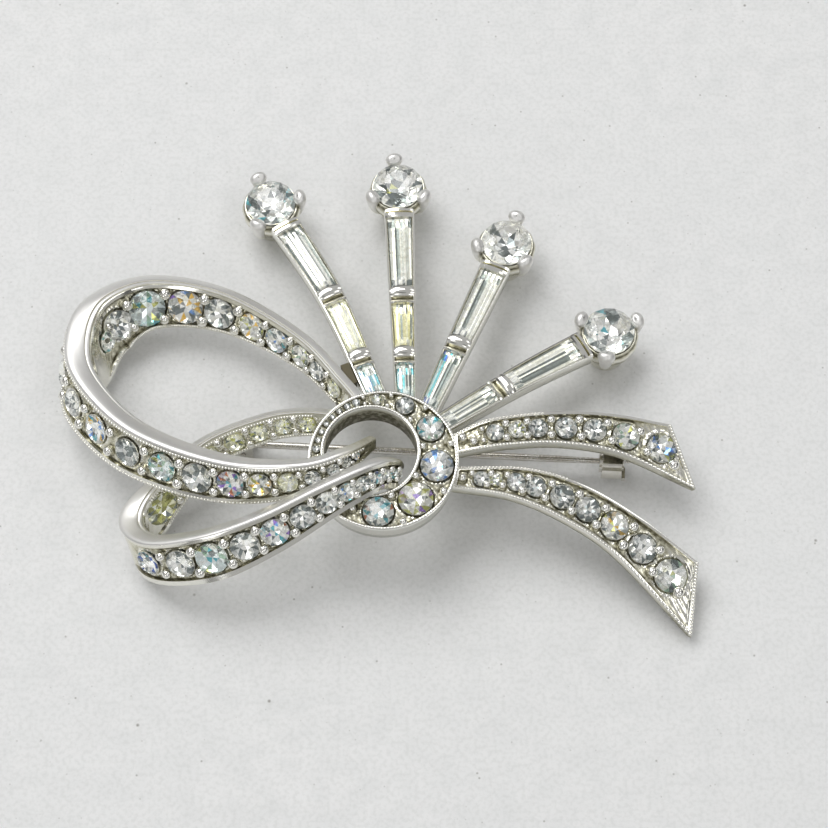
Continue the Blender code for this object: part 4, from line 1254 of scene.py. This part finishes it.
# The lower loop's back face is painted lighter, as if brightly lit: its tarnish and painted shade are scaled
# to 0.3.
ribbon_loop("lower_loop", LOWER_LOOP, -1.3, LOWER_STONES, LOWER_MOODS,
            [(1, 0.3), (1, -0.2)], 520, back_darkening_scale=0.3)
ribbon_tail("upper_tail", UPPER_TAIL, UPPER_TAIL_STONES,
            (STEELY, MOSS, NONE, STEELY, NONE, MOSS, (SILVER, (DARK, BLUE, OLIVE))),
            [(1.0, 0.35, 0.5), (2.2, 0.65, 0.45), (3.2, 0.3, 0.3), (3.3, 0.7, 0.3), (21.45, 0.74, 0.62)])
ribbon_tail("lower_tail", LOWER_TAIL, LOWER_TAIL_STONES,
            (STEELY, MOSS, NONE, STEELY, NONE, NONE, HALF_OLIVE, STEELY, MOSS),
            [(0.9, 0.5, 0.45), (1.8, 0.3, 0.35), (25.3, 0.62, 0.64)])
knot_ring()
spray()
pin()
for name in ("hinge_base", "catch_base", "catch_lock"):
    carried_over(name, FITTING)
carried_over("back_lug", SHADED_LUG_METAL)
carried_over("hinge_rivet", STEEL)


# ---------------- stage


def floor_look():
    """Off-white painted board: soft mottling and fine grain, with scattered dark specks."""
    look = Look("table_top", Roughness=0.6)
    broad = look.noise(0.03, detail=3.0)
    mottle = look.noise(0.35, detail=8.0)
    grain = look.noise(2.2, detail=4.0)
    base = look.ramp(mottle, [(0.3, (0.75, 0.755, 0.75)), (0.6, (0.805, 0.805, 0.8))])
    base = look.mix(look.ramp(broad, [(0.35, 0.0), (0.65, 0.6)]), base, (0.775, 0.78, 0.775))
    base = look.mix(look.ramp(grain, [(0.34, 0.26), (0.56, 0.0)]), base, (0.55, 0.56, 0.54))
    for scale, reach, kept, share in ((0.2, 0.045, 0.5, 0.8), (0.5, 0.075, 0.5, 0.6), (0.9, 0.1, 0.55, 0.35)):
        cells = look.nodes.new("ShaderNodeTexVoronoi")
        cells.inputs["Scale"].default_value = scale / MM
        look.links.new(look.place, cells.inputs["Vector"])
        near = look.ramp(cells.outputs["Distance"], [(0.3 * reach, share), (reach, 0.0)])
        chosen = look.ramp(cells.outputs["Color"], [(kept, 0.0), (kept + 0.02, 1.0)])
        base = look.mix(look.maths("MULTIPLY", near, chosen), base, (0.22, 0.21, 0.18))
    look.set("Base Color", base)
    look.bump(grain, 0.4, 0.07)
    return look.material


def floor():
    """The table top, a square of 2.4 metres."""
    size = 1.2
    mesh = bpy.data.meshes.new("table_top")
    corners = [(-size, -size, 0), (size, -size, 0), (size, size, 0), (-size, size, 0)]
    mesh.from_pydata(corners, [], [(0, 1, 2, 3)])
    mesh.materials.append(floor_look())
    made = new_object("table_top", mesh)


def surroundings():
    """A pale room, with darker and brighter patches that the polished metal reflects."""
    world = bpy.data.worlds.new("room")
    bpy.context.scene.world = world
    tree = NodeTree(world, "Generated")
    split = tree.nodes.new("ShaderNodeSeparateXYZ")
    tree.links.new(tree.place, split.inputs[0])
    colour = tree.ramp(split.outputs["Z"], ROOM)
    for turn, rise, reach, value in PATCHES:
        flat = math.cos(math.radians(rise))
        aim = tree.nodes.new("ShaderNodeVectorMath")
        aim.operation = "DOT_PRODUCT"
        aim.inputs[1].default_value = (flat * math.cos(math.radians(turn)),
                                       flat * math.sin(math.radians(turn)), math.sin(math.radians(rise)))
        tree.links.new(tree.place, aim.inputs[0])
        outer = math.cos(math.radians(reach * 1.25))
        inner = math.cos(math.radians(reach * 0.75))
        shade = tree.ramp(aim.outputs["Value"], [(outer, 1.0), (inner, value)])
        colour = tree.mix(1.0, colour, shade, kind="MULTIPLY")
    tree.links.new(colour, tree.nodes["Background"].inputs["Color"])


def window():
    """A wide lamp high on the left, behind the brooch."""
    data = bpy.data.lights.new("window", "AREA")
    data.shape = "RECTANGLE"
    data.size = 1.05
    data.size_y = 0.95
    data.energy = 12.3
    lamp = new_object("window", data)
    lamp.location = (-0.49, 0.63, 1.27)
    lamp.rotation_euler = (-lamp.location).to_track_quat("-Z", "Y").to_euler()


def camera():
    """The camera, which looks down on the brooch from the front."""
    data = bpy.data.cameras.new("camera")
    data.lens = LENS
    data.sensor_width = SENSOR
    data.clip_start = 0.01
    tilt = math.radians(ELEVATION)
    back = Vector((0.0, -math.cos(tilt), math.sin(tilt)))
    made = new_object("camera", data)
    made.location = (KNOT_AT + TARGET + back * DISTANCE) * MM
    made.rotation_euler = (-back).to_track_quat("-Z", "Y").to_euler()
    bpy.context.scene.camera = made


floor()
surroundings()
window()
camera()
bpy.context.scene.view_settings.view_transform = "Standard"
